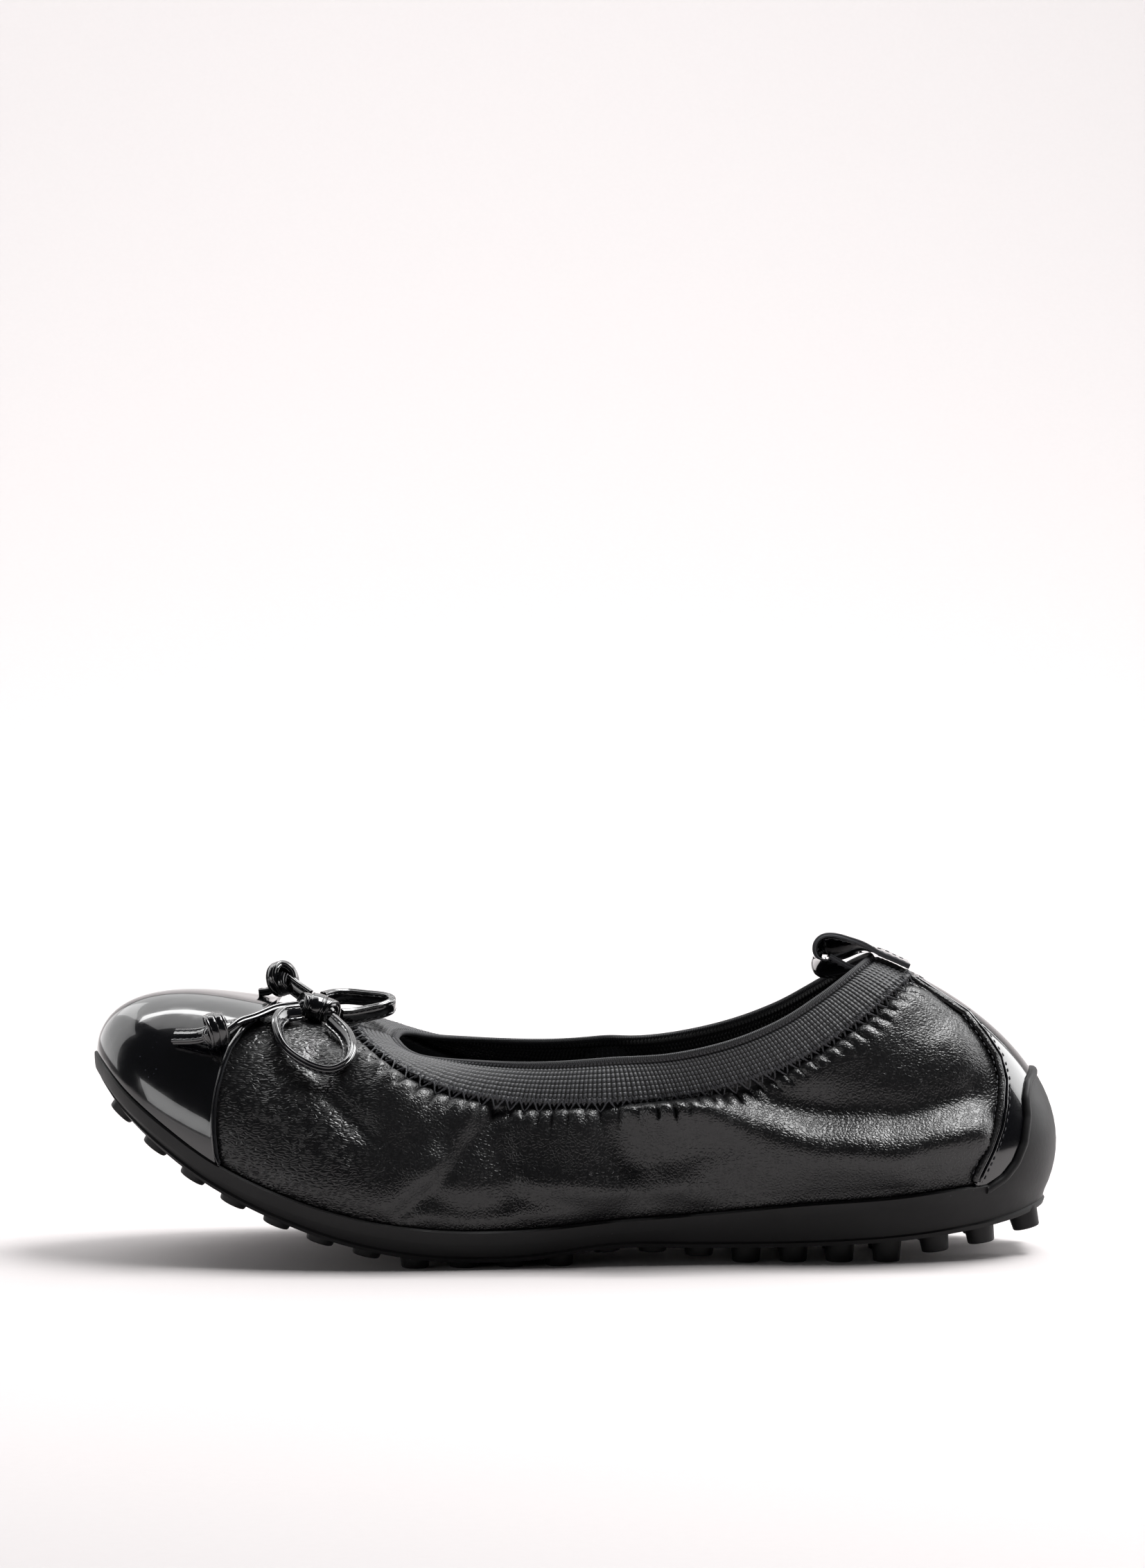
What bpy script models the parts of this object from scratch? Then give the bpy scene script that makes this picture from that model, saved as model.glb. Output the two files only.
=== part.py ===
"""Ballet flat, left shoe, standing empty on its studs.

The toe points along -X, the outer side of the foot is at -Y and +Z is up. The origin is on the floor,
under the middle of the shoe. Sizes are in metres.

One function, wall_point, gives the inside of the upper anywhere round the shoe. The leather lies on it,
and the toe cap, back strip, collar band and the rubber wall of the sole are a second layer over the leather.
"""

import functools
import math

import bmesh
import bpy
from mathutils import Vector

# Overall form of the last
LAST_LENGTH = 0.2327
BALL_HALF_WIDTH = 0.0380
TOE_SPRING = 0.0426
HEEL_SPRING = 0.0100
COLLAR_SETBACK = 0.0720
COLLAR_HEEL_SET = 0.0427
COLLAR_LENGTH = LAST_LENGTH - COLLAR_SETBACK - COLLAR_HEEL_SET
COLLAR_HALF_WIDTH = 0.0250
COLLAR_HEIGHT = 0.0716

# How the wall leaves the sole and meets the collar
WALL_RISE = 0.0200
WALL_SWELL = 0.0060
VAMP_REACH = 0.0400
VAMP_ARCH = 0.0170
INSTEP_LIFT = 0.0050

# Layers, counted outwards from the inside of the upper
LEATHER = 0.0016
OVERLAY = 0.0011
RUBBER_WALL = 0.0016
CLEARANCE = 0.0003

# Sole
SOLE_DEPTH = 0.0088
LIP_HEIGHT = 0.0030
HEEL_TAB_TOP = 0.0455
TREAD_TUCK = 0.0028
HEEL_TAB_RUN = 0.0153
FLANGE_OUT = 0.0006
FLANGE_DEPTH = 0.0012
FLANGE_EASE = 0.2
FLANGE_SHARE = 0.35
INSOLE_THICKNESS = 0.0020
INSOLE_INSET = 0.0005

# Toe cap seam, from the front of the tread
CAP_LENGTH = 0.0300
CAP_WING = 0.0150
CAP_HEIGHT = 0.0630

# Back strip, from the back of the tread
STRIP_RUN = 0.0170
STRIP_HEIGHT = 0.0680

# Studs
STUD_RADIUS = 0.0038
STUD_HEIGHT = 0.0020
HEEL_STUD_HEIGHT = 0.0042
STUD_GROUND_REACH = 0.0013
STUD_TAPER = 0.86
STUD_INSET = 0.0006
STUD_PITCH = 0.0112
STUD_ROW_PITCH = 0.0155
STUD_ROOT = 0.0010
STUD_SIDES = 8

# Collar band and pull tab
BAND_WIDTH = 0.0107
BAND_OVERLAP = 0.0030
PULL_TAB_WIDTH = 0.0115
PULL_TAB_THICKNESS = 0.0013
PULL_TAB_LENGTH = 0.0150
PULL_TAB_FOLD = 0.0024
PULL_TAB_TWIST = 40.0
PULL_TAB_SAG = 0.0018
PULL_TAB_DROOP = 0.0008

# Bow, its middle measured from the front of the tread and from the shoe's middle plane
BOW_SETBACK = 0.0525
BOW_SIDE = -0.0060
STRAP_WIDTH = 0.0040
STRAP_THICKNESS = 0.0018
BOW_KNOT_LENGTH = 0.0115
BOW_KNOT_WIDTH = 0.0075
BOW_KNOT_HEIGHT = 0.0055
LOOP_LENGTH = 0.0190
TAIL_LENGTH = 0.0360
TAIL_KNOT_RADIUS = 0.0026
TAIL_KNOT_CORD = 0.0017

# One row for each section of the last, from the toe tip to the middle of the heel.
# along is a share of LAST_LENGTH; outer and inner are half widths as shares of BALL_HALF_WIDTH;
# toe and heel lift the tread by shares of TOE_SPRING and HEEL_SPRING; depth is a share of SOLE_DEPTH.
# stud runs from 0, a forefoot stud's height, to 1, a heel stud's.
SOLE_COLUMNS = ("along", "outer", "inner", "toe", "heel", "depth", "stud")
SOLE_ROWS = (
    (0.000, 0.000, 0.000, 1.000, 0.00, 0.28, 0.0),
    (0.011, 0.250, 0.250, 0.920, 0.00, 0.32, 0.0),
    (0.036, 0.470, 0.470, 0.775, 0.00, 0.35, 0.0),
    (0.076, 0.670, 0.670, 0.596, 0.00, 0.40, 0.0),
    (0.126, 0.820, 0.830, 0.413, 0.00, 0.43, 0.0),
    (0.192, 0.935, 0.945, 0.239, 0.00, 0.47, 0.0),
    (0.272, 1.000, 0.990, 0.089, 0.00, 0.54, 0.0),
    (0.358, 0.990, 0.940, 0.007, 0.00, 0.60, 0.0),
    (0.452, 0.920, 0.840, 0.000, 0.00, 0.62, 0.0),
    (0.547, 0.820, 0.730, 0.000, 0.26, 0.55, -0.3),
    (0.645, 0.745, 0.680, 0.000, 0.22, 0.75, 0.3),
    (0.744, 0.710, 0.670, 0.000, 0.22, 0.96, 1.0),
    (0.839, 0.700, 0.690, 0.000, 0.34, 1.00, 1.0),
    (0.912, 0.630, 0.630, 0.000, 0.55, 1.00, 1.0),
    (0.963, 0.460, 0.460, 0.000, 0.76, 0.86, 1.0),
    (0.991, 0.245, 0.245, 0.000, 0.93, 0.64, 1.0),
    (1.000, 0.000, 0.000, 0.000, 1.00, 0.55, 1.0),
)

# The collar for the same sections. collar_x is a share of COLLAR_LENGTH, collar_y of COLLAR_HALF_WIDTH
# and collar_z of COLLAR_HEIGHT; rise, swell, reach and arch are shares of the four wall sizes, and lift is
# the inner side's share of INSTEP_LIFT.
WALL_COLUMNS = ("collar_x", "collar_y", "collar_z", "rise", "swell", "reach", "arch", "lift")
WALL_ROWS = (
    (0.000, 0.000, 0.692, 1.05, 0.5, 1.01, 0.92, 0.0),
    (0.003, 0.120, 0.693, 1.05, 0.5, 0.98, 0.90, 0.2),
    (0.008, 0.240, 0.688, 1.03, 0.6, 0.93, 0.85, 0.5),
    (0.018, 0.368, 0.676, 1.00, 0.7, 0.82, 0.74, 0.8),
    (0.036, 0.504, 0.661, 0.92, 0.9, 0.70, 0.60, 1.0),
    (0.068, 0.652, 0.649, 0.85, 1.0, 0.55, 0.35, 0.9),
    (0.124, 0.800, 0.644, 0.80, 1.0, 0.42, 0.00, 0.6),
    (0.210, 0.912, 0.646, 0.70, 1.0, 0.32, -0.35, 0.3),
    (0.330, 0.980, 0.654, 0.65, 1.0, 0.25, -0.60, 0.1),
    (0.459, 1.000, 0.672, 0.65, 1.0, 0.22, -0.70, 0.0),
    (0.588, 0.968, 0.697, 0.65, 1.0, 0.22, -0.76, 0.0),
    (0.708, 0.888, 0.741, 0.67, 1.0, 0.25, -0.82, 0.0),
    (0.811, 0.760, 0.803, 0.72, 1.1, 0.33, -0.82, 0.0),
    (0.897, 0.580, 0.882, 0.80, 1.2, 0.47, -0.80, 0.0),
    (0.957, 0.380, 0.945, 0.88, 1.3, 0.64, -0.76, 0.0),
    (0.989, 0.188, 0.975, 0.95, 1.5, 0.76, -0.74, 0.0),
    (1.000, 0.000, 0.982, 0.98, 1.6, 0.80, -0.74, 0.0),
)

# Front edge of the rubber heel tab in the side view. back is a share of HEEL_TAB_RUN in from the heel;
# up is a share of the rise from the lip to HEEL_TAB_TOP.
HEEL_TAB_EDGE = (
    (0.88, 0.02), (0.65, 0.10), (0.46, 0.23), (0.33, 0.40), (0.27, 0.63),
    (0.29, 0.80), (0.24, 0.92), (0.10, 1.00), (-0.50, 1.02),
)

# Rear seam of the toe cap in the side view: wing is a share of CAP_WING back from CAP_LENGTH,
# up is a share of CAP_HEIGHT.
CAP_EDGE = (
    (0.21, 0.22), (0.20, 0.36), (0.12, 0.39), (0.03, 0.45), (0.00, 0.54), (0.01, 0.62),
    (0.06, 0.69), (0.15, 0.77), (0.27, 0.84), (0.46, 0.90), (0.76, 0.95), (1.00, 0.98),
)

# Front edge of the back strip in the side view: back is a share of STRIP_RUN in from the heel,
# up is a share of STRIP_HEIGHT.
STRIP_EDGE = (
    (1.02, 0.25), (1.02, 0.30), (0.93, 0.35), (0.81, 0.41), (0.69, 0.49), (0.63, 0.56), (0.60, 0.65),
    (0.66, 0.72), (0.86, 0.80), (1.12, 0.88), (1.46, 0.94), (1.70, 0.97), (2.05, 1.03),
)

# Routes of the bow's straps from its middle. along, across and lift are shares of the loop's or tail's
# length; lift is over the vamp for what lies on it, and over the bow's middle for what stands free.
NEAR_LOOP = (
    (-0.19, -0.29, 0.0), (-0.38, -0.44, 0.0), (-0.43, -0.67, 0.0), (-0.30, -0.95, 0.0), (-0.04, -1.11, 0.0),
    (0.24, -1.17, 0.0), (0.44, -1.09, 0.0), (0.50, -0.89, 0.0), (0.41, -0.61, 0.0), (0.21, -0.31, 0.0),
)
FAR_LOOP = (
    (0.32, 0.03, -0.12), (0.46, 0.10, -0.12), (0.66, 0.19, -0.09), (0.87, 0.29, -0.05), (0.97, 0.45, 0.00),
    (0.87, 0.60, 0.04), (0.60, 0.71, 0.06), (0.36, 0.71, 0.08), (0.16, 0.55, 0.08), (0.06, 0.36, 0.07),
)
NEAR_TAIL = (
    (-0.17, -0.03, 0.0), (-0.28, -0.13, 0.0), (-0.40, -0.27, 0.0), (-0.51, -0.37, 0.0), (-0.61, -0.44, 0.0),
    (-0.72, -0.43, 0.0), (-0.88, -0.37, 0.0),
)
FAR_TAIL = (
    (-0.06, 0.12, 0.06), (-0.14, 0.16, 0.11), (-0.22, 0.20, 0.16), (-0.27, 0.23, 0.18), (-0.32, 0.26, 0.13),
    (-0.38, 0.28, 0.11), (-0.47, 0.28, 0.11),
)

# Directions of the strap's width where it stands free: all along the far loop, and at each point of the
# far tail, which turns over inside its knot to lie flat on the cap.
FAR_LOOP_LEAN = (0.0, -0.35, 0.94)
FAR_TAIL_LEAN = (
    (0.35, -0.20, 0.90), (0.35, -0.20, 0.90), (0.35, -0.20, 0.90), (0.30, 0.50, 0.60), (0.10, 1.00, 0.20),
    (0.00, 1.00, 0.00), (0.00, 1.00, 0.00),
)
TAIL_KNOT_POINT = {"near": 4, "far": 3}

# Pull tab: how far down the band its two ends reach, where its free runs have points, and how much of
# PULL_TAB_TWIST it has turned at each point.
PULL_TAB_OVER = (0.85, 0.50, 0.15)
PULL_TAB_UNDER = (0.10, 0.35, 0.60)
PULL_TAB_RUN = (0.30, 0.60)
PULL_TAB_TURNS = (0.0, 0.0, 0.0, 0.35, 0.8, 1.0, 1.0, 1.0, 0.9, 0.8, 0.5, 0.0, 0.0, 0.0, 0.0)

SECTIONS = len(SOLE_ROWS) - 1
RING_STEPS = 2 * SECTIONS
RING_SPLIT = 2
WALL_SPLIT = 9
HEEL_TAB_LEVELS = 5
HEEL_TAB_SECTION = 11.5
SIDE_STEP = 0.25
CAP_SECTIONS = 6
STRIP_SECTIONS = 4
STRAP_SPLIT = 2
VAMP_SECTIONS = 7.5
VAMP_LOW_SHARE = 0.24
VAMP_STEPS = 38
VAMP_TURNS = 6
SHARP_ANGLE = 40.0
KNOT_STEPS = 12
KNOT_SIDES = 8
FOLD_STEPS = 5

COLOURS = {
    "nappa leather": (0.016, 0.016, 0.018, 0.45),
    "patent leather": (0.008, 0.008, 0.010, 0.10),
    "woven elastic": (0.020, 0.021, 0.024, 0.80),
    "black rubber": (0.018, 0.018, 0.020, 0.55),
    "sock lining": (0.030, 0.030, 0.032, 0.75),
}


def clear_scene():
    """Remove every object of the open scene."""
    for old in list(bpy.data.objects):
        bpy.data.objects.remove(old, do_unlink=True)


def material(name):
    """The named finish, a Principled material with its colour and roughness."""
    found = bpy.data.materials.get(name)
    if found:
        return found
    red, green, blue, roughness = COLOURS[name]
    made = bpy.data.materials.new(name)
    made.use_nodes = True
    shader = made.node_tree.nodes["Principled BSDF"]
    shader.inputs["Base Color"].default_value = (red, green, blue, 1.0)
    shader.inputs["Roughness"].default_value = roughness
    shader.inputs["Metallic"].default_value = 0.0
    return made


def collection(name):
    """A new collection linked to the scene."""
    made = bpy.data.collections.new(name)
    bpy.context.scene.collection.children.link(made)
    return made


def ring_list(rows, columns, name, outer_sign=1.0, inner_name=None):
    """One column read round the shoe: heel, outer side, toe tip, inner side."""
    outer = [row[columns.index(name)] * outer_sign for row in rows]
    inner = [row[columns.index(inner_name or name)] for row in rows]
    return outer[::-1] + inner[1:-1]


RING = {
    "side": ring_list(SOLE_ROWS, SOLE_COLUMNS, "outer", -1.0, "inner"),
    "collar_y": ring_list(WALL_ROWS, WALL_COLUMNS, "collar_y", -1.0),
    "lift": ring_list(WALL_ROWS, WALL_COLUMNS, "lift", 0.0),
}
for column in ("along", "toe", "heel", "depth", "stud"):
    RING[column] = ring_list(SOLE_ROWS, SOLE_COLUMNS, column)
for column in ("collar_x", "collar_z", "rise", "swell", "reach", "arch"):
    RING[column] = ring_list(WALL_ROWS, WALL_COLUMNS, column)


def along_ring(name, place):
    """A column's value at any place round the ring, on a closed Catmull-Rom curve."""
    values = RING[name]
    first = math.floor(place)
    part = place - first
    a, b, c, d = (values[(first + step) % RING_STEPS] for step in (-1, 0, 1, 2))
    bend = (2 * a - 5 * b + 4 * c - d) * part ** 2 + (3 * b - a - 3 * c + d) * part ** 3
    return 0.5 * (2 * b + (c - a) * part + bend)


def tread_point(place):
    """The tread's centre line under a place on the ring, before the studs."""
    x = (along_ring("along", place) - 0.5) * LAST_LENGTH
    z = STUD_HEIGHT + along_ring("toe", place) * TOE_SPRING + along_ring("heel", place) * HEEL_SPRING
    return Vector((x, 0.0, z))


@functools.lru_cache(maxsize=None)
def tread_up(place):
    """The unit vector square to the tread's centre line, pointing up into the shoe."""
    section = abs(place % RING_STEPS - SECTIONS)
    ahead = tread_point(SECTIONS + max(section - 0.5, 0.0))
    behind = tread_point(SECTIONS + min(section + 0.5, SECTIONS))
    run = (behind - ahead).normalized()
    return Vector((-run.z, 0.0, run.x))


@functools.lru_cache(maxsize=None)
def feather(place):
    """The foot of the upper's inner face, on the footbed."""
    point = tread_point(place) + tread_up(place) * along_ring("depth", place) * SOLE_DEPTH
    point.y = along_ring("side", place) * BALL_HALF_WIDTH
    return point


@functools.lru_cache(maxsize=None)
def outward(place):
    """The unit vector that points out of the feather line in the plane of the sole."""
    step = 0.05
    run = feather(place + step) - feather(place - step)
    return tread_up(place).cross(run).normalized()


@functools.lru_cache(maxsize=None)
def wall_controls(place):
    """The four control points of the wall's curve from the footbed to the collar."""
    foot = feather(place)
    x = (COLLAR_SETBACK - 0.5 * LAST_LENGTH) + along_ring("collar_x", place) * COLLAR_LENGTH
    y = along_ring("collar_y", place) * COLLAR_HALF_WIDTH
    lift = along_ring("lift", place) * INSTEP_LIFT
    top = Vector((x, y, along_ring("collar_z", place) * COLLAR_HEIGHT + 0.5 * lift))
    flat = outward(place).copy()
    flat.z = 0.0
    spread = foot - top
    spread.z = 0.0
    up = Vector((0.0, 0.0, 1.0))
    low = foot + up * along_ring("rise", place) * WALL_RISE
    low += flat.normalized() * along_ring("swell", place) * WALL_SWELL
    high = top + spread.normalized() * along_ring("reach", place) * VAMP_REACH
    high += up * (along_ring("arch", place) * VAMP_ARCH + 0.5 * lift)
    return foot, low, high, top


@functools.lru_cache(maxsize=None)
def wall_point(place, share):
    """A point on the inner face: share runs from 0 at the footbed to 1 at the collar."""
    foot, low, high, top = wall_controls(place)
    rest = 1.0 - share
    lower = foot * rest ** 3 + low * (3.0 * rest * rest * share)
    return lower + high * (3.0 * rest * share * share) + top * share ** 3


@functools.lru_cache(maxsize=None)
def wall_out(place, share):
    """The unit vector out of the wall."""
    step = 0.02
    share = min(max(share, step), 1.0 - step)
    rise = wall_point(place, share + step) - wall_point(place, share - step)
    run = wall_point(place + step, share) - wall_point(place - step, share)
    return rise.cross(run).normalized()


@functools.lru_cache(maxsize=None)
def wall_lengths(place):
    """Lengths from the footbed up the wall, at even shares of its curve."""
    pieces = 40
    lengths = [0.0]
    for index in range(pieces):
        step = wall_point(place, (index + 1) / pieces) - wall_point(place, index / pieces)
        lengths.append(lengths[-1] + step.length)
    return lengths


def wall_share(place, distance):
    """The share of the wall's curve at a distance up from the footbed, or down from the collar if negative."""
    lengths = wall_lengths(place)
    target = distance if distance >= 0.0 else lengths[-1] + distance
    target = min(max(target, 0.0), lengths[-1])
    for index, low in enumerate(lengths[:-1]):
        high = lengths[index + 1]
        if target <= high:
            return (index + (target - low) / (high - low)) / (len(lengths) - 1)
    return 1.0


def layer_point(place, share, offset):
    """A point at an offset out from the wall's inner face."""
    return wall_point(place, share) + wall_out(place, share) * offset


def add_object(name, mesh, finish, group):
    """A new object of a mesh, smooth but for its sharp edges."""
    made = bpy.data.objects.new(name, mesh)
    made.data.materials.append(material(finish))
    mesh.shade_smooth()
    mesh.set_sharp_from_angle(angle=math.radians(SHARP_ANGLE))
    group.objects.link(made)
    return made


def mesh_from(name, builder):
    """A new mesh with what a bmesh builder draws in it."""
    mesh = bpy.data.meshes.new(name)
    sheet = bmesh.new()
    builder(sheet)
    sheet.to_mesh(mesh)
    sheet.free()
    return mesh


def join_rings(sheet, rings, closed_ring, closed_loft):
    """Faces between neighbouring rings of points, each ring as long as the next."""
    rows = [[sheet.verts.new(point) for point in ring] for ring in rings]
    ring_count = len(rows) if closed_loft else len(rows) - 1
    point_count = len(rows[0]) if closed_ring else len(rows[0]) - 1
    for i in range(ring_count):
        here = rows[i]
        after = rows[(i + 1) % len(rows)]
        for j in range(point_count):
            k = (j + 1) % len(here)
            sheet.faces.new((here[j], here[k], after[k], after[j]))


def thicken(made, thickness):
    """Give an open sheet its wall, outwards."""
    wall = made.modifiers.new("wall", "SOLIDIFY")
    wall.thickness = thickness
    wall.offset = 1.0
    wall.use_even_offset = False
    wall.use_rim = True


def cut(made, cutter, operation, name):
    """A Boolean with another object."""
    step = made.modifiers.new(name, "BOOLEAN")
    step.operation = operation
    step.object = cutter
    step.solver = "EXACT"


def as_cutter(made):
    """Hide a cutter from renders and draw it as wire."""
    made.hide_render = True
    made.display_type = "WIRE"


def wall_sheet(name, finish, group, places, low, high, split, offset, thickness, closed):
    """A piece of the upper's wall between two heights, each a function of the place."""

    def draw(sheet):
        rings = []
        for place in places:
            start = low(place)
            stop = high(place)
            steps = [start + (stop - start) * index / split for index in range(split + 1)]
            rings.append([layer_point(place, share, offset) for share in steps])
        join_rings(sheet, rings, False, closed)

    made = add_object(name, mesh_from(name, draw), finish, group)
    thicken(made, thickness)
    return made


def side_prism(name, outline, cutters):
    """A prism across the shoe with an outline of (x, z) points."""
    half = 2.0 * BALL_HALF_WIDTH

    def draw(sheet):
        near = [sheet.verts.new((x, -half, z)) for x, z in outline]
        face = sheet.faces.new(near)
        pushed = bmesh.ops.extrude_face_region(sheet, geom=[face])
        moved = [item for item in pushed["geom"] if isinstance(item, bmesh.types.BMVert)]
        bmesh.ops.translate(sheet, vec=(0.0, 2.0 * half, 0.0), verts=moved)
        bmesh.ops.recalc_face_normals(sheet, faces=sheet.faces)

    made = add_object(name, mesh_from(name, draw), "black rubber", cutters)
    as_cutter(made)
    return made


def ring_places(first=0, last=RING_STEPS, split=RING_SPLIT):
    """Places round the ring between two sections, split evenly."""
    return [first + index / split for index in range((last - first) * split + 1)]


def make_upper(parts):
    """The leather vamp and quarters, from the footbed to just under the collar band."""
    return wall_sheet(
        "upper", "nappa leather", parts, ring_places()[:-1], lambda place: 0.0,
        lambda place: wall_share(place, BAND_OVERLAP - BAND_WIDTH), WALL_SPLIT, 0.0, LEATHER, True,
    )


def make_insole(parts):
    """The footbed: a board inside the foot of the upper."""

    def draw(sheet):
        rings = []
        for step in ring_places(0, SECTIONS):
            outer = feather(step) - outward(step) * INSOLE_INSET
            inner_place = (RING_STEPS - step) % RING_STEPS
            inner = feather(inner_place) - outward(inner_place) * INSOLE_INSET
            up = tread_up(step)
            rings.append([outer, inner, inner + up * INSOLE_THICKNESS, outer + up * INSOLE_THICKNESS])
        join_rings(sheet, rings, True, False)
        close_ends(sheet)

    return add_object("insole", mesh_from("insole", draw), "sock lining", parts)


def close_ends(sheet):
    """Merge the folded first and last rings of a loft and turn its faces out."""
    bmesh.ops.remove_doubles(sheet, verts=sheet.verts, dist=0.00005)
    bmesh.ops.dissolve_degenerate(sheet, edges=sheet.edges, dist=0.00001)
    bmesh.ops.recalc_face_normals(sheet, faces=sheet.faces)


def leather_levels(place):
    """Shares of the wall's curve where the leather has its rows of corners."""
    top = wall_share(place, BAND_OVERLAP - BAND_WIDTH)
    return [top * index / WALL_SPLIT for index in range(WALL_SPLIT + 1)]


def section_of(place):
    """The number of a ring place's section, counted from the toe."""
    return abs(place % RING_STEPS - SECTIONS)


def rubber_levels(place):
    """Shares of the wall's curve for the rubber wall: a low lip, and the heel tab at the back."""
    count = HEEL_TAB_LEVELS
    if section_of(place) > HEEL_TAB_SECTION:
        return leather_levels(place)[:count + 1]
    lip = wall_share(place, LIP_HEIGHT)
    return [lip * index / count for index in range(count + 1)]


def sole_side(place):
    """Points of one side of the sole's section, from the tread's edge over the rubber wall to the footbed."""
    inside = LEATHER + CLEARANCE
    outside = inside + RUBBER_WALL
    up = tread_up(place)
    out = outward(place)
    depth = along_ring("depth", place) * SOLE_DEPTH
    edge = feather(place) - up * depth + out * (outside - TREAD_TUCK)
    climb = rubber_levels(place)
    foot = layer_point(place, climb[0], outside)
    side = foot - edge
    bulge = wall_out(place, climb[0]) - up
    bulge = (bulge - side * bulge.dot(side) / side.length_squared).normalized()
    step = min(FLANGE_DEPTH / side.length, FLANGE_SHARE)
    ease = FLANGE_EASE * step
    flange = edge + bulge * FLANGE_OUT * min(side.length * FLANGE_SHARE / FLANGE_DEPTH, 1.0)
    points = [edge, flange + side * ease, flange + side * step, edge + side * (step + ease)]
    points += [layer_point(place, share, outside) for share in climb]
    points += [layer_point(place, share, inside) for share in reversed(climb)]
    points[-1] = points[-1] - up * CLEARANCE
    return points


def lip_line():
    """Side view of the lip from where the heel tab's wall starts to where the tab itself starts."""
    points = []
    place = SECTIONS - HEEL_TAB_SECTION + SIDE_STEP
    heel = 0.5 * LAST_LENGTH - HEEL_TAB_RUN
    while True:
        point = layer_point(place, wall_share(place, LIP_HEIGHT), LEATHER + CLEARANCE + RUBBER_WALL)
        if point.x >= heel:
            return points
        points.append((point.x, point.z))
        place -= SIDE_STEP


def heel_tab_line(shift=0.0):
    """Side view of the heel tab's front and top edge, moved up and forward by a shift."""
    lip = lip_line()
    low = lip[-1][1]
    heel = 0.5 * LAST_LENGTH
    edge = [(heel - back * HEEL_TAB_RUN, low + up * (HEEL_TAB_TOP - low)) for back, up in HEEL_TAB_EDGE]
    return [(x - shift, z + shift) for x, z in lip + edge]


def sole_places():
    """Places of the sole's sections on the outer side, with a close pair where the heel tab starts."""
    start = SECTIONS - HEEL_TAB_SECTION
    return sorted(ring_places(0, SECTIONS) + [start - 0.1 * SIDE_STEP])


def stud_spots():
    """Centre, axis and height of each stud: rows across the tread, a pitch apart along it."""
    spots = []
    travelled = 0.0
    last = tread_point(SECTIONS)
    steps = 40 * SECTIONS
    for index in range(steps + 1):
        place = SECTIONS - SECTIONS * index / steps
        point = tread_point(place)
        travelled += (point - last).length
        last = point
        if travelled < STUD_PITCH:
            continue
        travelled = 0.0
        spots += stud_row(place)
    return spots


def stud_row(place):
    """The studs of one row: evenly spread between the tread's edges."""
    up = tread_up(place)
    outer = sole_side(place)[0]
    inner = sole_side((RING_STEPS - place) % RING_STEPS)[0]
    inset = STUD_RADIUS + STUD_INSET
    width = (inner - outer).length - 2.0 * inset
    if width < STUD_PITCH:
        return []
    count = max(int(width // STUD_ROW_PITCH), 1) + 1
    side = (inner - outer).normalized()
    reach = STUD_HEIGHT + along_ring("stud", place) * (HEEL_STUD_HEIGHT - STUD_HEIGHT)
    spots = []
    for index in range(count):
        centre = outer + side * (inset + width * index / (count - 1))
        spots.append((centre, up, reach))
    return spots


def add_stud(sheet, centre, up, reach):
    """One stud: upright and down to the floor where the tread is low enough, otherwise square to the tread."""
    grounded = centre.z - reach * up.z < STUD_GROUND_REACH
    axis = Vector((0.0, 0.0, 1.0)) if grounded else up
    height = STUD_ROOT + (centre.z if grounded else reach)
    made = bmesh.ops.create_cone(
        sheet, cap_ends=True, segments=STUD_SIDES, radius1=STUD_RADIUS * STUD_TAPER,
        radius2=STUD_RADIUS, depth=height,
    )
    turn = Vector((0.0, 0.0, 1.0)).rotation_difference(axis)
    bmesh.ops.rotate(sheet, verts=made["verts"], cent=(0, 0, 0), matrix=turn.to_matrix())
    bmesh.ops.translate(sheet, verts=made["verts"], vec=centre + axis * (STUD_ROOT - 0.5 * height))


def make_studs(cutters):
    """All studs as one set of round pegs with their roots inside the tread."""

    def draw(sheet):
        for centre, up, reach in stud_spots():
            add_stud(sheet, centre, up, reach)

    made = add_object("studs", mesh_from("studs", draw), "black rubber", cutters)
    as_cutter(made)
    return made


def make_outsole(parts, cutters):
    """The rubber cup sole: tread, side wall, heel tab and studs in one piece."""

    def draw(sheet):
        rings = []
        for place in sole_places():
            outer = sole_side(place)
            inner = sole_side((RING_STEPS - place) % RING_STEPS)
            rings.append(outer + inner[::-1])
        join_rings(sheet, rings, True, False)
        close_ends(sheet)

    made = add_object("outsole", mesh_from("outsole", draw), "black rubber", parts)
    line = heel_tab_line()
    outline = line + [(line[-1][0], COLLAR_HEIGHT), (line[0][0] - 2.0 * HEEL_TAB_RUN, COLLAR_HEIGHT)]
    trim = side_prism("heel_tab_trim", outline, cutters)
    cut(made, trim, "DIFFERENCE", "heel tab outline")
    cut(made, make_studs(cutters), "UNION", "studs")
    return made


def make_toe_cap(parts, cutters):
    """The patent cap: the second layer over the toe, cut along its rear seam."""
    made = wall_sheet(
        "toe_cap", "patent leather", parts, ring_places(SECTIONS - CAP_SECTIONS, SECTIONS + CAP_SECTIONS),
        lambda place: wall_share(place, LIP_HEIGHT + CLEARANCE),
        lambda place: wall_share(place, -BAND_WIDTH - CLEARANCE),
        WALL_SPLIT, LEATHER + CLEARANCE, OVERLAY, False,
    )
    start = CAP_LENGTH - 0.5 * LAST_LENGTH
    seam = [(start + wing * CAP_WING, up * CAP_HEIGHT) for wing, up in CAP_EDGE]
    top = 2.0 * COLLAR_HEIGHT
    front = -LAST_LENGTH
    outline = [(front, -top), (seam[0][0], -top)] + seam + [(seam[-1][0], top), (front, top)]
    cut(made, side_prism("cap_trim", outline, cutters), "INTERSECT", "rear seam")
    return made


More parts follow.
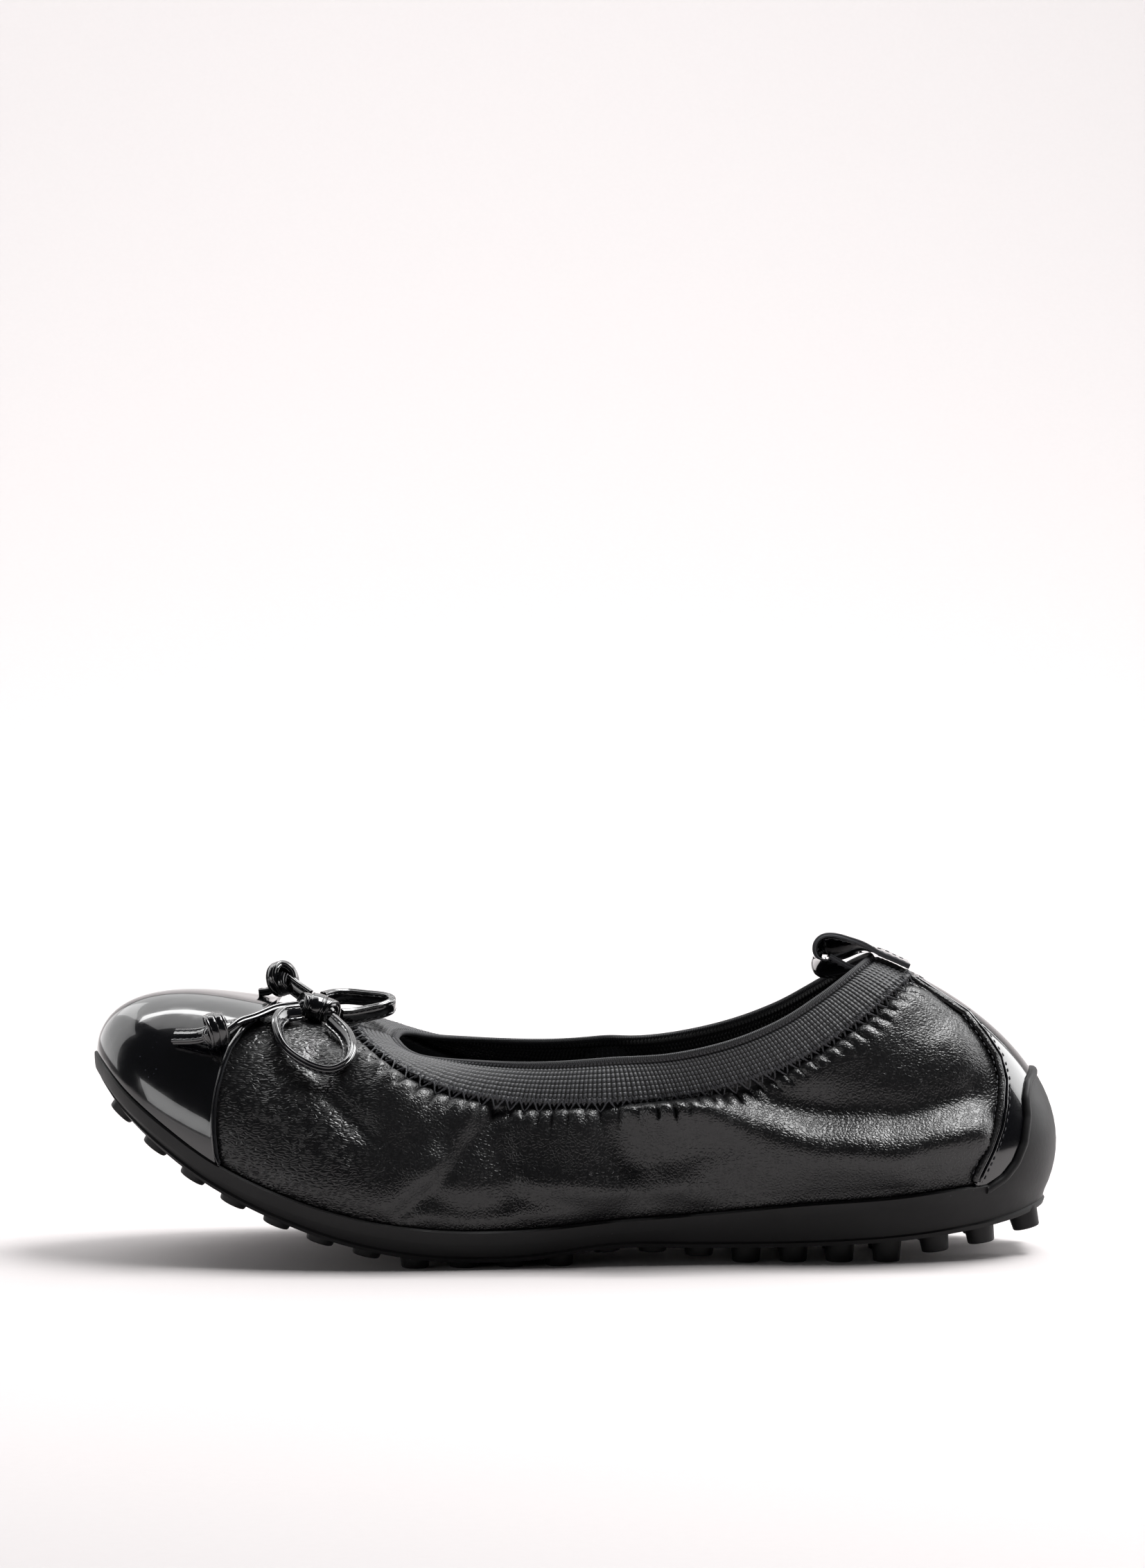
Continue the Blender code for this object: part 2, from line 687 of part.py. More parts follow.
def make_collar_band(parts):
    """The wide elastic band round the whole opening, lapped over the leather's edge."""
    return wall_sheet(
        "collar_band", "woven elastic", parts, ring_places()[:-1],
        lambda place: wall_share(place, -BAND_WIDTH), lambda place: 1.0,
        2, LEATHER + CLEARANCE, OVERLAY, True,
    )


def make_back_strip(parts, cutters):
    """The patent strip up the back, cut between its front edge and the rubber heel tab."""
    made = wall_sheet(
        "back_strip", "patent leather", parts, ring_places(-STRIP_SECTIONS, STRIP_SECTIONS),
        lambda place: wall_share(place, LIP_HEIGHT + CLEARANCE),
        lambda place: wall_share(place, -BAND_WIDTH - CLEARANCE),
        WALL_SPLIT, LEATHER + CLEARANCE, OVERLAY, False,
    )
    heel = 0.5 * LAST_LENGTH
    edge = [(heel - back * STRIP_RUN, up * STRIP_HEIGHT) for back, up in STRIP_EDGE]
    above_tab = [point for point in heel_tab_line(CLEARANCE * 1.5) if point[0] > edge[0][0]]
    top = 2.0 * COLLAR_HEIGHT
    outline = above_tab + [(LAST_LENGTH, above_tab[-1][1]), (LAST_LENGTH, top), (edge[-1][0], top)]
    cut(made, side_prism("strip_trim", outline + edge[::-1], cutters), "INTERSECT", "edges")
    return made


def smooth_route(points, split):
    """A Catmull-Rom curve through open points, split evenly between each pair."""
    padded = [points[0] * 2.0 - points[1]] + list(points) + [points[-1] * 2.0 - points[-2]]
    route = []
    for index in range(1, len(padded) - 2):
        a, b, c, d = padded[index - 1:index + 3]
        for step in range(split):
            t = step / split
            bend = (a * 2.0 - b * 5.0 + c * 4.0 - d) * t ** 2 + (b * 3.0 - a - c * 3.0 + d) * t ** 3
            route.append((b * 2.0 + (c - a) * t + bend) * 0.5)
    route.append(points[-1].copy())
    return route


def strap(name, finish, group, route, sides, width, thickness):
    """A flat strap with eased edges along a route; sides are the directions of its width."""
    half = 0.5 * width
    thin = 0.5 * thickness
    ease = 0.5 * thin
    corners = (
        (-half + ease, -thin), (half - ease, -thin), (half, -thin + ease), (half, thin - ease),
        (half - ease, thin), (-half + ease, thin), (-half, thin - ease), (-half, -thin + ease),
    )

    def draw(sheet):
        rings = []
        for index, point in enumerate(route):
            run = route[min(index + 1, len(route) - 1)] - route[max(index - 1, 0)]
            face = run.cross(sides[index]).normalized()
            side = face.cross(run).normalized()
            rings.append([point + side * across + face * out for across, out in corners])
        join_rings(sheet, rings, True, False)
        bmesh.ops.holes_fill(sheet, edges=sheet.edges, sides=len(corners))
        bmesh.ops.recalc_face_normals(sheet, faces=sheet.faces)

    return add_object(name, mesh_from(name, draw), finish, group)


def on_vamp(x, y, offset):
    """The point over the vamp at x and y, an offset out from its inner face, and the way out there."""
    count = round(VAMP_SECTIONS / SIDE_STEP)
    sections = [SECTIONS + SIDE_STEP * step for step in range(-count, count + 1)]
    gap = (1.0 - VAMP_LOW_SHARE) / VAMP_STEPS
    shares = [VAMP_LOW_SHARE + gap * step for step in range(VAMP_STEPS + 1)]
    reach = 0.5 * SIDE_STEP
    spots = [(place, share) for place in sections for share in shares]
    for turn in range(VAMP_TURNS):
        best = min(spots, key=lambda spot: miss(spot, x, y))
        spots = []
        for step in (-1, 0, 1):
            for climb in (-0.1, 0.0, 0.1):
                spots.append((best[0] + reach * step, min(best[1] + reach * climb, 1.0)))
        reach *= 0.6
    place, share = min(spots, key=lambda spot: miss(spot, x, y))
    return layer_point(place, share, offset), wall_out(place, share)


def miss(spot, x, y):
    """How far a spot on the wall lies from x and y in the plan."""
    point = wall_point(spot[0], spot[1])
    return (point.x - x) ** 2 + (point.y - y) ** 2


def bow_middle():
    """The middle of the bow's knot, resting on the vamp."""
    x = BOW_SETBACK - 0.5 * LAST_LENGTH
    return on_vamp(x, BOW_SIDE, LEATHER + CLEARANCE + 0.5 * BOW_KNOT_HEIGHT)


def make_bow_knot(parts):
    """The wrapped knot: a flattened ball with the strap's turn round it."""
    middle, out = bow_middle()
    size = Vector((BOW_KNOT_LENGTH, BOW_KNOT_WIDTH, BOW_KNOT_HEIGHT)) * 0.5
    turn = Vector((0.0, 0.0, 1.0)).rotation_difference(out)

    def draw(sheet):
        made = bmesh.ops.create_uvsphere(sheet, u_segments=14, v_segments=8, radius=1.0)
        bmesh.ops.scale(sheet, vec=size, verts=made["verts"])
        bmesh.ops.rotate(sheet, verts=made["verts"], cent=(0, 0, 0), matrix=turn.to_matrix())
        bmesh.ops.translate(sheet, verts=made["verts"], vec=middle)

    return add_object("bow_knot", mesh_from("bow_knot", draw), "patent leather", parts)


def lying_route(table, length, offset):
    """A route over the vamp from a table of shares, and the way out at each of its points."""
    middle = Vector((BOW_SETBACK - 0.5 * LAST_LENGTH, BOW_SIDE, 0.0))
    points = []
    for along, across, lift in table:
        place = middle + Vector((along, across, 0.0)) * length
        points.append(on_vamp(place.x, place.y, offset + lift * length))
    return points


def make_near_loop(parts):
    """The loop that lies down the outer side of the vamp, its strap on edge."""
    offset = LEATHER + 2.0 * CLEARANCE + 0.5 * STRAP_WIDTH
    points = lying_route(NEAR_LOOP, LOOP_LENGTH, offset)
    route = smooth_route([point for point, out in points], STRAP_SPLIT)
    sides = smooth_route([out for point, out in points], STRAP_SPLIT)
    return strap("bow_loop_near", "patent leather", parts, route, sides, STRAP_WIDTH, STRAP_THICKNESS)


def make_far_loop(parts):
    """The loop that stands back over the throat, its strap on edge."""
    middle = bow_middle()[0]
    route = smooth_route([middle + Vector(row) * LOOP_LENGTH for row in FAR_LOOP], STRAP_SPLIT)
    sides = [Vector(FAR_LOOP_LEAN)] * len(route)
    return strap("bow_loop_far", "patent leather", parts, route, sides, STRAP_WIDTH, STRAP_THICKNESS)


def tail_knot(name, centre, axis, cutters):
    """The ring of a tail's overhand knot, round its strap."""

    def draw(sheet):
        rings = []
        turn = Vector((0.0, 0.0, 1.0)).rotation_difference(axis)
        for index in range(KNOT_STEPS):
            angle = 2.0 * math.pi * index / KNOT_STEPS
            ring = []
            for corner in range(KNOT_SIDES):
                swing = 2.0 * math.pi * corner / KNOT_SIDES
                radius = TAIL_KNOT_RADIUS + math.cos(swing) * TAIL_KNOT_CORD
                lift = math.sin(swing) * TAIL_KNOT_CORD
                ring.append(centre + turn @ Vector((math.cos(angle) * radius, math.sin(angle) * radius, lift)))
            rings.append(ring)
        join_rings(sheet, rings, True, True)
        bmesh.ops.recalc_face_normals(sheet, faces=sheet.faces)

    made = add_object(name, mesh_from(name, draw), "patent leather", cutters)
    as_cutter(made)
    return made


def make_near_tail(parts, cutters):
    """The tail that lies forward over the cap, with its knot and square end."""
    offset = LEATHER + OVERLAY + 2.5 * CLEARANCE + 0.5 * STRAP_THICKNESS
    points = lying_route(NEAR_TAIL, TAIL_LENGTH, offset)
    centres = [point for point, out in points]
    knot = TAIL_KNOT_POINT["near"]
    lift = points[knot][1] * (TAIL_KNOT_RADIUS + TAIL_KNOT_CORD - 0.5 * STRAP_THICKNESS)
    centres[knot] = centres[knot] + lift
    for index in (knot - 1, knot + 1):
        centres[index] = centres[index] + lift * 0.5
    route = smooth_route(centres, STRAP_SPLIT)
    outs = smooth_route([out for point, out in points], STRAP_SPLIT)
    sides = []
    for index, out in enumerate(outs):
        run = route[min(index + 1, len(route) - 1)] - route[max(index - 1, 0)]
        sides.append(out.cross(run).normalized())
    made = strap("bow_tail_near", "patent leather", parts, route, sides, STRAP_WIDTH, STRAP_THICKNESS)
    axis = (centres[knot + 1] - centres[knot - 1]).normalized()
    cut(made, tail_knot("near_tail_knot", centres[knot], axis, cutters), "UNION", "knot")
    return made


def make_far_tail(parts, cutters):
    """The tail that stands up off the knot and droops past its own knot."""
    middle = bow_middle()[0]
    points = [middle + Vector(row) * TAIL_LENGTH for row in FAR_TAIL]
    route = smooth_route(points, STRAP_SPLIT)
    sides = smooth_route([Vector(row) for row in FAR_TAIL_LEAN], STRAP_SPLIT)
    knot = TAIL_KNOT_POINT["far"]
    made = strap("bow_tail_far", "patent leather", parts, route, sides, STRAP_WIDTH, STRAP_THICKNESS)
    axis = (points[knot + 1] - points[knot - 1]).normalized()
    cut(made, tail_knot("far_tail_knot", points[knot], axis, cutters), "UNION", "knot")
    return made


def make_pull_tab(parts):
    """The folded loop of patent strip over the collar at the heel."""
    lie = LEATHER + OVERLAY + 3.5 * CLEARANCE + 0.5 * PULL_TAB_THICKNESS
    under = -CLEARANCE - 0.5 * PULL_TAB_THICKNESS - PULL_TAB_SAG
    over = [layer_point(0.0, wall_share(0.0, -BAND_WIDTH * share), lie) for share in PULL_TAB_OVER]
    inside = [layer_point(0.0, wall_share(0.0, -BAND_WIDTH * share), under) for share in PULL_TAB_UNDER]
    lead = over[-1]
    fold = PULL_TAB_FOLD
    level = lead.z + 4.0 * CLEARANCE
    upper_run = [Vector((lead.x - PULL_TAB_LENGTH * share, 0.0, level)) for share in PULL_TAB_RUN]
    low = level - 2.0 * fold - PULL_TAB_DROOP
    lower_run = [Vector((point.x, 0.0, low)) for point in reversed(upper_run)]
    turn = []
    for step in range(FOLD_STEPS):
        angle = math.radians(90.0) + math.pi * step / (FOLD_STEPS - 1)
        x = lead.x - PULL_TAB_LENGTH + fold * (1.0 + math.cos(angle))
        turn.append(Vector((x, 0.0, level - fold * (1.0 - math.sin(angle)))))
    route = smooth_route(over + upper_run + turn + lower_run + inside, 1)
    sides = []
    for share in PULL_TAB_TURNS:
        angle = math.radians(PULL_TAB_TWIST) * share
        sides.append(Vector((0.0, math.cos(angle), -math.sin(angle))))
    return strap("pull_tab", "patent leather", parts, route, sides, PULL_TAB_WIDTH, PULL_TAB_THICKNESS)


def stand_on_floor(parts):
    """Hang every piece from one empty that puts the origin on the floor under the shoe's middle."""
    root = bpy.data.objects.new("ballet_flat", None)
    parts.objects.link(root)
    layer = bpy.context.evaluated_depsgraph_get()
    corners = []
    for piece in parts.objects:
        if piece.type == "MESH":
            corners += [Vector(corner) for corner in piece.evaluated_get(layer).bound_box]
            piece.parent = root
    low = [min(corner[axis] for corner in corners) for axis in range(3)]
    high = [max(corner[axis] for corner in corners) for axis in range(3)]
    root.location = (-0.5 * (low[0] + high[0]), -0.5 * (low[1] + high[1]), -low[2])
    bpy.context.view_layer.update()


def main():
    clear_scene()
    parts = collection("ballet flat")
    cutters = collection("cutters")
    make_upper(parts)
    make_insole(parts)
    make_outsole(parts, cutters)
    make_toe_cap(parts, cutters)
    make_collar_band(parts)
    make_back_strip(parts, cutters)
    make_pull_tab(parts)
    make_bow_knot(parts)
    make_near_loop(parts)
    make_far_loop(parts)
    make_near_tail(parts, cutters)
    make_far_tail(parts, cutters)
    stand_on_floor(parts)


main()
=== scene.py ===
"""Looks of a ballet flat: soft leather, patent cap and bow, woven elastic collar and a studded rubber sole.

The toe points along -X, the outer side of the foot is at -Y and +Z is up. Sizes are in metres.
Every piece of the shoe's skin lies on one function, wall_point, which gives the upper's inner face anywhere
round the shoe. A place on the ring counts round from the heel along the outer side to the toe and back.
"""

import bisect
import functools
import math

import bmesh
import bpy
from mathutils import Matrix, Vector, noise


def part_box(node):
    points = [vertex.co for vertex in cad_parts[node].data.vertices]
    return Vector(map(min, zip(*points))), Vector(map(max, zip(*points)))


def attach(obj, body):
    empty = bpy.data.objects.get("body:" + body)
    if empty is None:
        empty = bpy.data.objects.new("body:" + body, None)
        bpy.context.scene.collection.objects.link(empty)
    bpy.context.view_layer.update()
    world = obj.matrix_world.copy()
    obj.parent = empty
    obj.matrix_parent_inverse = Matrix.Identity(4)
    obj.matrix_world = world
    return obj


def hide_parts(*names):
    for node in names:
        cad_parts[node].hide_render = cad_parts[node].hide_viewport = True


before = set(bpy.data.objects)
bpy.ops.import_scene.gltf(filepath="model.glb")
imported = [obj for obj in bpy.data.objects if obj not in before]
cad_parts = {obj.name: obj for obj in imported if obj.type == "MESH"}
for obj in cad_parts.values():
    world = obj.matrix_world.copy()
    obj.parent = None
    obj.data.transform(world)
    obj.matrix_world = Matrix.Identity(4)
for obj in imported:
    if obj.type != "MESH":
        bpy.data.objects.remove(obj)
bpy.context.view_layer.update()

bl_info = {
    "name": "Ballet flat",
    "version": (1, 0, 0),
    "blender": (4, 5, 0),
    "location": "View3D > Sidebar > Ballet flat",
    "description": "Dresses the packed ballet flat in leather, patent, elastic and rubber",
    "category": "Object",
}

# Overall form of the last
LAST_LENGTH = 0.2327
BALL_HALF_WIDTH = 0.0380
TOE_SPRING = 0.0426
HEEL_SPRING = 0.0100
COLLAR_SETBACK = 0.0720
COLLAR_HEEL_SET = 0.0427
COLLAR_LENGTH = LAST_LENGTH - COLLAR_SETBACK - COLLAR_HEEL_SET
COLLAR_HALF_WIDTH = 0.0250
COLLAR_HEIGHT = 0.0716
WALL_RISE = 0.0200
WALL_SWELL = 0.0060
VAMP_REACH = 0.0400
VAMP_ARCH = 0.0170
INSTEP_LIFT = 0.0050

# Layers, counted outwards from the inside of the upper
LEATHER = 0.0016
OVERLAY = 0.0011
RUBBER_WALL = 0.0016
CLEARANCE = 0.0003
OVERLAY_FACE = LEATHER + CLEARANCE + OVERLAY
SOLE_FACE = LEATHER + CLEARANCE + RUBBER_WALL

# Sole, cap, strip, band
SOLE_DEPTH = 0.0088
LIP_HEIGHT = 0.0030
HEEL_TAB_TOP = 0.0455
HEEL_TAB_RUN = 0.0153
TREAD_TUCK = 0.0028
FLANGE_OUT = 0.0006
FLANGE_DEPTH = 0.0012
FLANGE_EASE = 0.2
FLANGE_SHARE = 0.35
SOLE_CREST = 0.0003
INSOLE_THICKNESS = 0.0020
INSOLE_INSET = 0.0005
CAP_LENGTH = 0.0300
CAP_WING = 0.0150
CAP_HEIGHT = 0.0630
STRIP_RUN = 0.0170
STRIP_HEIGHT = 0.0680
BAND_WIDTH = 0.0107
BAND_OVERLAP = 0.0030

# Studs
STUD_RADIUS = 0.0038
STUD_HEIGHT = 0.0020
HEEL_STUD_HEIGHT = 0.0042
STUD_GROUND_REACH = 0.0013
STUD_TAPER = 0.86
STUD_INSET = 0.0006
STUD_PITCH = 0.0112
STUD_ROW_PITCH = 0.0155
STUD_ROOT = 0.0010
STUD_SIDES = 20
STUD_EASE = 0.0004
STUD_DISH = (0.0009, 0.0003)

# Bow and pull tab
BOW_SETBACK = 0.0525
BOW_SIDE = -0.0060
STRAP_WIDTH = 0.0040
STRAP_THICKNESS = 0.0018
BOW_KNOT_LENGTH = 0.0115
BOW_KNOT_WIDTH = 0.0075
BOW_KNOT_HEIGHT = 0.0055
LOOP_LENGTH = 0.0190
TAIL_LENGTH = 0.0360
TAIL_KNOT_RADIUS = 0.0026
TAIL_KNOT_CORD = 0.0017
PULL_TAB_WIDTH = 0.0115
PULL_TAB_THICKNESS = 0.0013
PULL_TAB_LENGTH = 0.0150
PULL_TAB_FOLD = 0.0024
PULL_TAB_TWIST = 40.0
PULL_TAB_SAG = 0.0018
PULL_TAB_DROOP = 0.0008
PULL_TAB_CHANNEL = 0.0013
PULL_TAB_PITCH = 0.0018

# Search for a point over the vamp: ring places each side of the toe, and shares of the wall from the lowest
VAMP_SIDE_STEP = 0.25
VAMP_SIDE_STEPS = 30
VAMP_LOW_SHARE = 0.24
VAMP_CLIMB_STEP = 0.02
VAMP_STEPS = 38
VAMP_TURNS = 6

# Leather under the elastic
GATHER_RISE = 0.0024
GATHER_FALL = (0.002, 0.016)
SLIT_WIDTH = 0.40
SLIT_DEPTH = 0.85
RIPPLE = 0.00012

# Elastic: its crown, its puckers at the zigzag and the groove under its rolled edge
BAND_CROWN = 0.0002
BAND_PUCKER = 0.00015
BAND_GROOVE = 0.0004
BAND_GROOVE_SETBACK = 0.0012
BAND_GROOVE_WIDTH = 0.0004
CORD_ROUNDNESS = 0.7
PIPING_MIDDLE = LEATHER + CLEARANCE + 0.7 * OVERLAY
# Overlocked edge and holding zigzag: points for each gather, reach up the wall and lift at the high and low
# points, and thickness of the thread
ZIGZAGS = (
    (3, (0.0012, OVERLAY_FACE + 0.00015), (-0.0004, OVERLAY_FACE - 0.0006), 1.25),
    (1, (0.0004, OVERLAY_FACE + 0.0001), (-0.0019, LEATHER + 0.0004), 1.0),
)

# Corners of the skins' grids, round the shoe or along it, and up the wall; how they crowd together, and the
# distances for merging them
UPPER_GRID = (600, 60)
UPPER_FOOT_SHARE = 0.6
CAP_GRID = (240, 90)
CAP_CROWDING = 1.5
STRIP_GRID = (160, 70)
PIPING_GRID = (720, 12)
SOLE_LENGTHS = 220
SOLE_CROWDING = 1.35
SOLE_LEVELS = 12
SOCK_LENGTHS = 150
SOCK_WIDTHS = 24
GRID_MERGE = 0.000004
GRID_SLIVER = 0.000002
FINE_MERGE = 0.00002

# Steps and halvings of the searches for a seam, and how far up the wall the heel tab may reach
SEARCH_STEPS = 48
SEARCH_HALVINGS = 8
SEAM_HALVINGS = 30
TAB_SHARE_LIMIT = 0.95

# Rolled edges, as distances from the edge line, and the cap's slow waver
CAP_ROLL = 0.0006
CAP_WAVER = 0.00012
STRIP_ROLL = 0.0005
STRIP_ROLL_SHARE = 0.6

# Sewn edge of the back strip: its start over the heel tab as a share of the wall, the piped edge, the lip
# behind it and the setback and lift of its two rows of stitches
STRIP_TAB_GAP = 0.006
PIPED_EDGE_RADIUS = 0.0008
PIPED_EDGE_LIFT = 0.0006
EDGE_POINTS = 120
EDGE_LIP_RADIUS = 0.00035
EDGE_LIP_SETBACK = 0.0013
EDGE_LIP_LIFT = 0.0005
EDGE_STITCH_PITCH = 0.0016
EDGE_STITCH_HALF = 0.0005
EDGE_STITCH_ROWS = ((-0.0013, -0.0001), (0.0021, 0.0006))

# Rims, straps and knots
TAB_RIM_RADIUS = 0.0010
TAB_RIM_STEPS = 130
TAB_RIM_STEP = 0.02
TAB_RIM_SPACING = 0.0008
TAB_RIM_SETBACK = 0.0009
TAB_RIM_SINK = 0.0002
STRAP_CHANNEL = 0.0008
STRAP_PITCH = 0.0013
WRAP_CHANNEL = 0.0007
ROUTE_SPLIT = 8
STITCH_SIDES = 6
NEAR_LOOP_FLARE = 0.85
NEAR_LOOP_TURN_UP = 0.25
NEAR_TAIL_TWIST = 1.1

# Sections of the sole and of the wall from the toe tip to the heel, as shares of the sizes above
SOLE_COLUMNS = ("along", "outer", "inner", "toe", "heel", "depth", "stud")
SOLE_ROWS = (
    (0.000, 0.000, 0.000, 1.000, 0.00, 0.28, 0.0),
    (0.011, 0.250, 0.250, 0.920, 0.00, 0.32, 0.0),
    (0.036, 0.470, 0.470, 0.775, 0.00, 0.35, 0.0),
    (0.076, 0.670, 0.670, 0.596, 0.00, 0.40, 0.0),
    (0.126, 0.820, 0.830, 0.413, 0.00, 0.43, 0.0),
    (0.192, 0.935, 0.945, 0.239, 0.00, 0.47, 0.0),
    (0.272, 1.000, 0.990, 0.089, 0.00, 0.54, 0.0),
    (0.358, 0.990, 0.940, 0.007, 0.00, 0.60, 0.0),
    (0.452, 0.920, 0.840, 0.000, 0.00, 0.62, 0.0),
    (0.547, 0.820, 0.730, 0.000, 0.26, 0.55, -0.3),
    (0.645, 0.745, 0.680, 0.000, 0.22, 0.75, 0.3),
    (0.744, 0.710, 0.670, 0.000, 0.22, 0.96, 1.0),
    (0.839, 0.700, 0.690, 0.000, 0.34, 1.00, 1.0),
    (0.912, 0.630, 0.630, 0.000, 0.55, 1.00, 1.0),
    (0.963, 0.460, 0.460, 0.000, 0.76, 0.86, 1.0),
    (0.991, 0.245, 0.245, 0.000, 0.93, 0.64, 1.0),
    (1.000, 0.000, 0.000, 0.000, 1.00, 0.55, 1.0),
)
WALL_COLUMNS = ("collar_x", "collar_y", "collar_z", "rise", "swell", "reach", "arch", "lift")
WALL_ROWS = (
    (0.000, 0.000, 0.692, 1.05, 0.5, 1.01, 0.92, 0.0),
    (0.003, 0.120, 0.693, 1.05, 0.5, 0.98, 0.90, 0.2),
    (0.008, 0.240, 0.688, 1.03, 0.6, 0.93, 0.85, 0.5),
    (0.018, 0.368, 0.676, 1.00, 0.7, 0.82, 0.74, 0.8),
    (0.036, 0.504, 0.661, 0.92, 0.9, 0.70, 0.60, 1.0),
    (0.068, 0.652, 0.649, 0.85, 1.0, 0.55, 0.35, 0.9),
    (0.124, 0.800, 0.644, 0.80, 1.0, 0.42, 0.00, 0.6),
    (0.210, 0.912, 0.646, 0.70, 1.0, 0.32, -0.35, 0.3),
    (0.330, 0.980, 0.654, 0.65, 1.0, 0.25, -0.60, 0.1),
    (0.459, 1.000, 0.672, 0.65, 1.0, 0.22, -0.70, 0.0),
    (0.588, 0.968, 0.697, 0.65, 1.0, 0.22, -0.76, 0.0),
    (0.708, 0.888, 0.741, 0.67, 1.0, 0.25, -0.82, 0.0),
    (0.811, 0.760, 0.803, 0.72, 1.1, 0.33, -0.82, 0.0),
    (0.897, 0.580, 0.882, 0.80, 1.2, 0.47, -0.80, 0.0),
    (0.957, 0.380, 0.945, 0.88, 1.3, 0.64, -0.76, 0.0),
    (0.989, 0.188, 0.975, 0.95, 1.5, 0.76, -0.74, 0.0),
    (1.000, 0.000, 0.982, 0.98, 1.6, 0.80, -0.74, 0.0),
)
# Edge lines seen from the side, from the bottom up: shares of the edge's run back, and of its height
HEEL_TAB_EDGE = (
    (0.88, 0.02), (0.65, 0.10), (0.46, 0.23), (0.33, 0.40), (0.27, 0.63),
    (0.29, 0.80), (0.24, 0.92), (0.10, 1.00), (-0.50, 1.02),
)
CAP_EDGE = (
    (0.21, 0.22), (0.20, 0.36), (0.12, 0.39), (0.03, 0.45), (0.00, 0.54), (0.01, 0.62),
    (0.06, 0.69), (0.15, 0.77), (0.27, 0.84), (0.46, 0.90), (0.76, 0.95), (1.00, 0.98),
)
STRIP_EDGE = (
    (1.02, 0.25), (1.02, 0.30), (0.93, 0.35), (0.81, 0.41), (0.69, 0.49), (0.63, 0.56), (0.60, 0.65),
    (0.66, 0.72), (0.86, 0.80), (1.12, 0.88), (1.46, 0.94), (1.70, 0.97), (2.05, 1.03),
)
# Lines of the bow's straps from its middle, as shares of a loop's or a tail's length, and the way their width
# points
NEAR_LOOP = (
    (-0.19, -0.29, 0.0), (-0.38, -0.44, 0.0), (-0.43, -0.67, 0.0), (-0.30, -0.95, 0.0), (-0.04, -1.11, 0.0),
    (0.24, -1.17, 0.0), (0.44, -1.09, 0.0), (0.50, -0.89, 0.0), (0.41, -0.61, 0.0), (0.21, -0.31, 0.0),
)
FAR_LOOP = (
    (0.32, 0.03, -0.12), (0.46, 0.10, -0.12), (0.66, 0.19, -0.09), (0.87, 0.29, -0.05), (0.97, 0.45, 0.00),
    (0.87, 0.60, 0.04), (0.60, 0.71, 0.06), (0.36, 0.71, 0.08), (0.16, 0.55, 0.08), (0.06, 0.36, 0.07),
)
NEAR_TAIL = (
    (-0.14, -0.08, 0.0), (-0.27, -0.19, 0.0), (-0.40, -0.30, 0.0), (-0.51, -0.38, 0.0), (-0.61, -0.44, 0.0),
    (-0.72, -0.43, 0.0), (-0.88, -0.37, 0.0),
)
FAR_TAIL = (
    (-0.06, 0.12, 0.06), (-0.14, 0.16, 0.11), (-0.21, 0.20, 0.16), (-0.25, 0.23, 0.18), (-0.29, 0.26, 0.13),
    (-0.34, 0.27, 0.09), (-0.41, 0.27, 0.08),
)
FAR_LOOP_LEAN = (0.0, -0.35, 0.94)
FAR_TAIL_LEAN = (
    (0.35, -0.20, 0.90), (0.35, -0.20, 0.90), (0.35, -0.20, 0.90), (0.30, 0.50, 0.60), (0.10, 1.00, 0.20),
    (0.00, 1.00, 0.00), (0.00, 1.00, 0.00),
)
TAIL_KNOT_POINT = {"near": 4, "far": 3}
# Strap wound round the bow's knot: the turns, first angle and slide of every round, and each round's shift
# along the knot, lean, width and share of its radii
BOW_WRAP_TURNS = (1.15, -1.9, 0.0006)
BOW_WRAPS = ((-0.46, 0.45, 0.0030, 0.84), (0.50, -0.55, 0.0030, 0.86), (0.02, -0.10, 0.0040, 1.05))
# Line of the pull tab over and under the elastic, along its length, and its share of twist at each point
PULL_TAB_OVER = (0.85, 0.50, 0.15)
PULL_TAB_UNDER = (0.10, 0.35, 0.60)
PULL_TAB_RUN = (0.30, 0.60)
PULL_TAB_TURNS = (0.0, 0.0, 0.0, 0.35, 0.8, 1.0, 1.0, 1.0, 0.9, 0.8, 0.5, 0.0, 0.0, 0.0, 0.0)

SECTIONS = len(SOLE_ROWS) - 1
RING_STEPS = 2 * SECTIONS

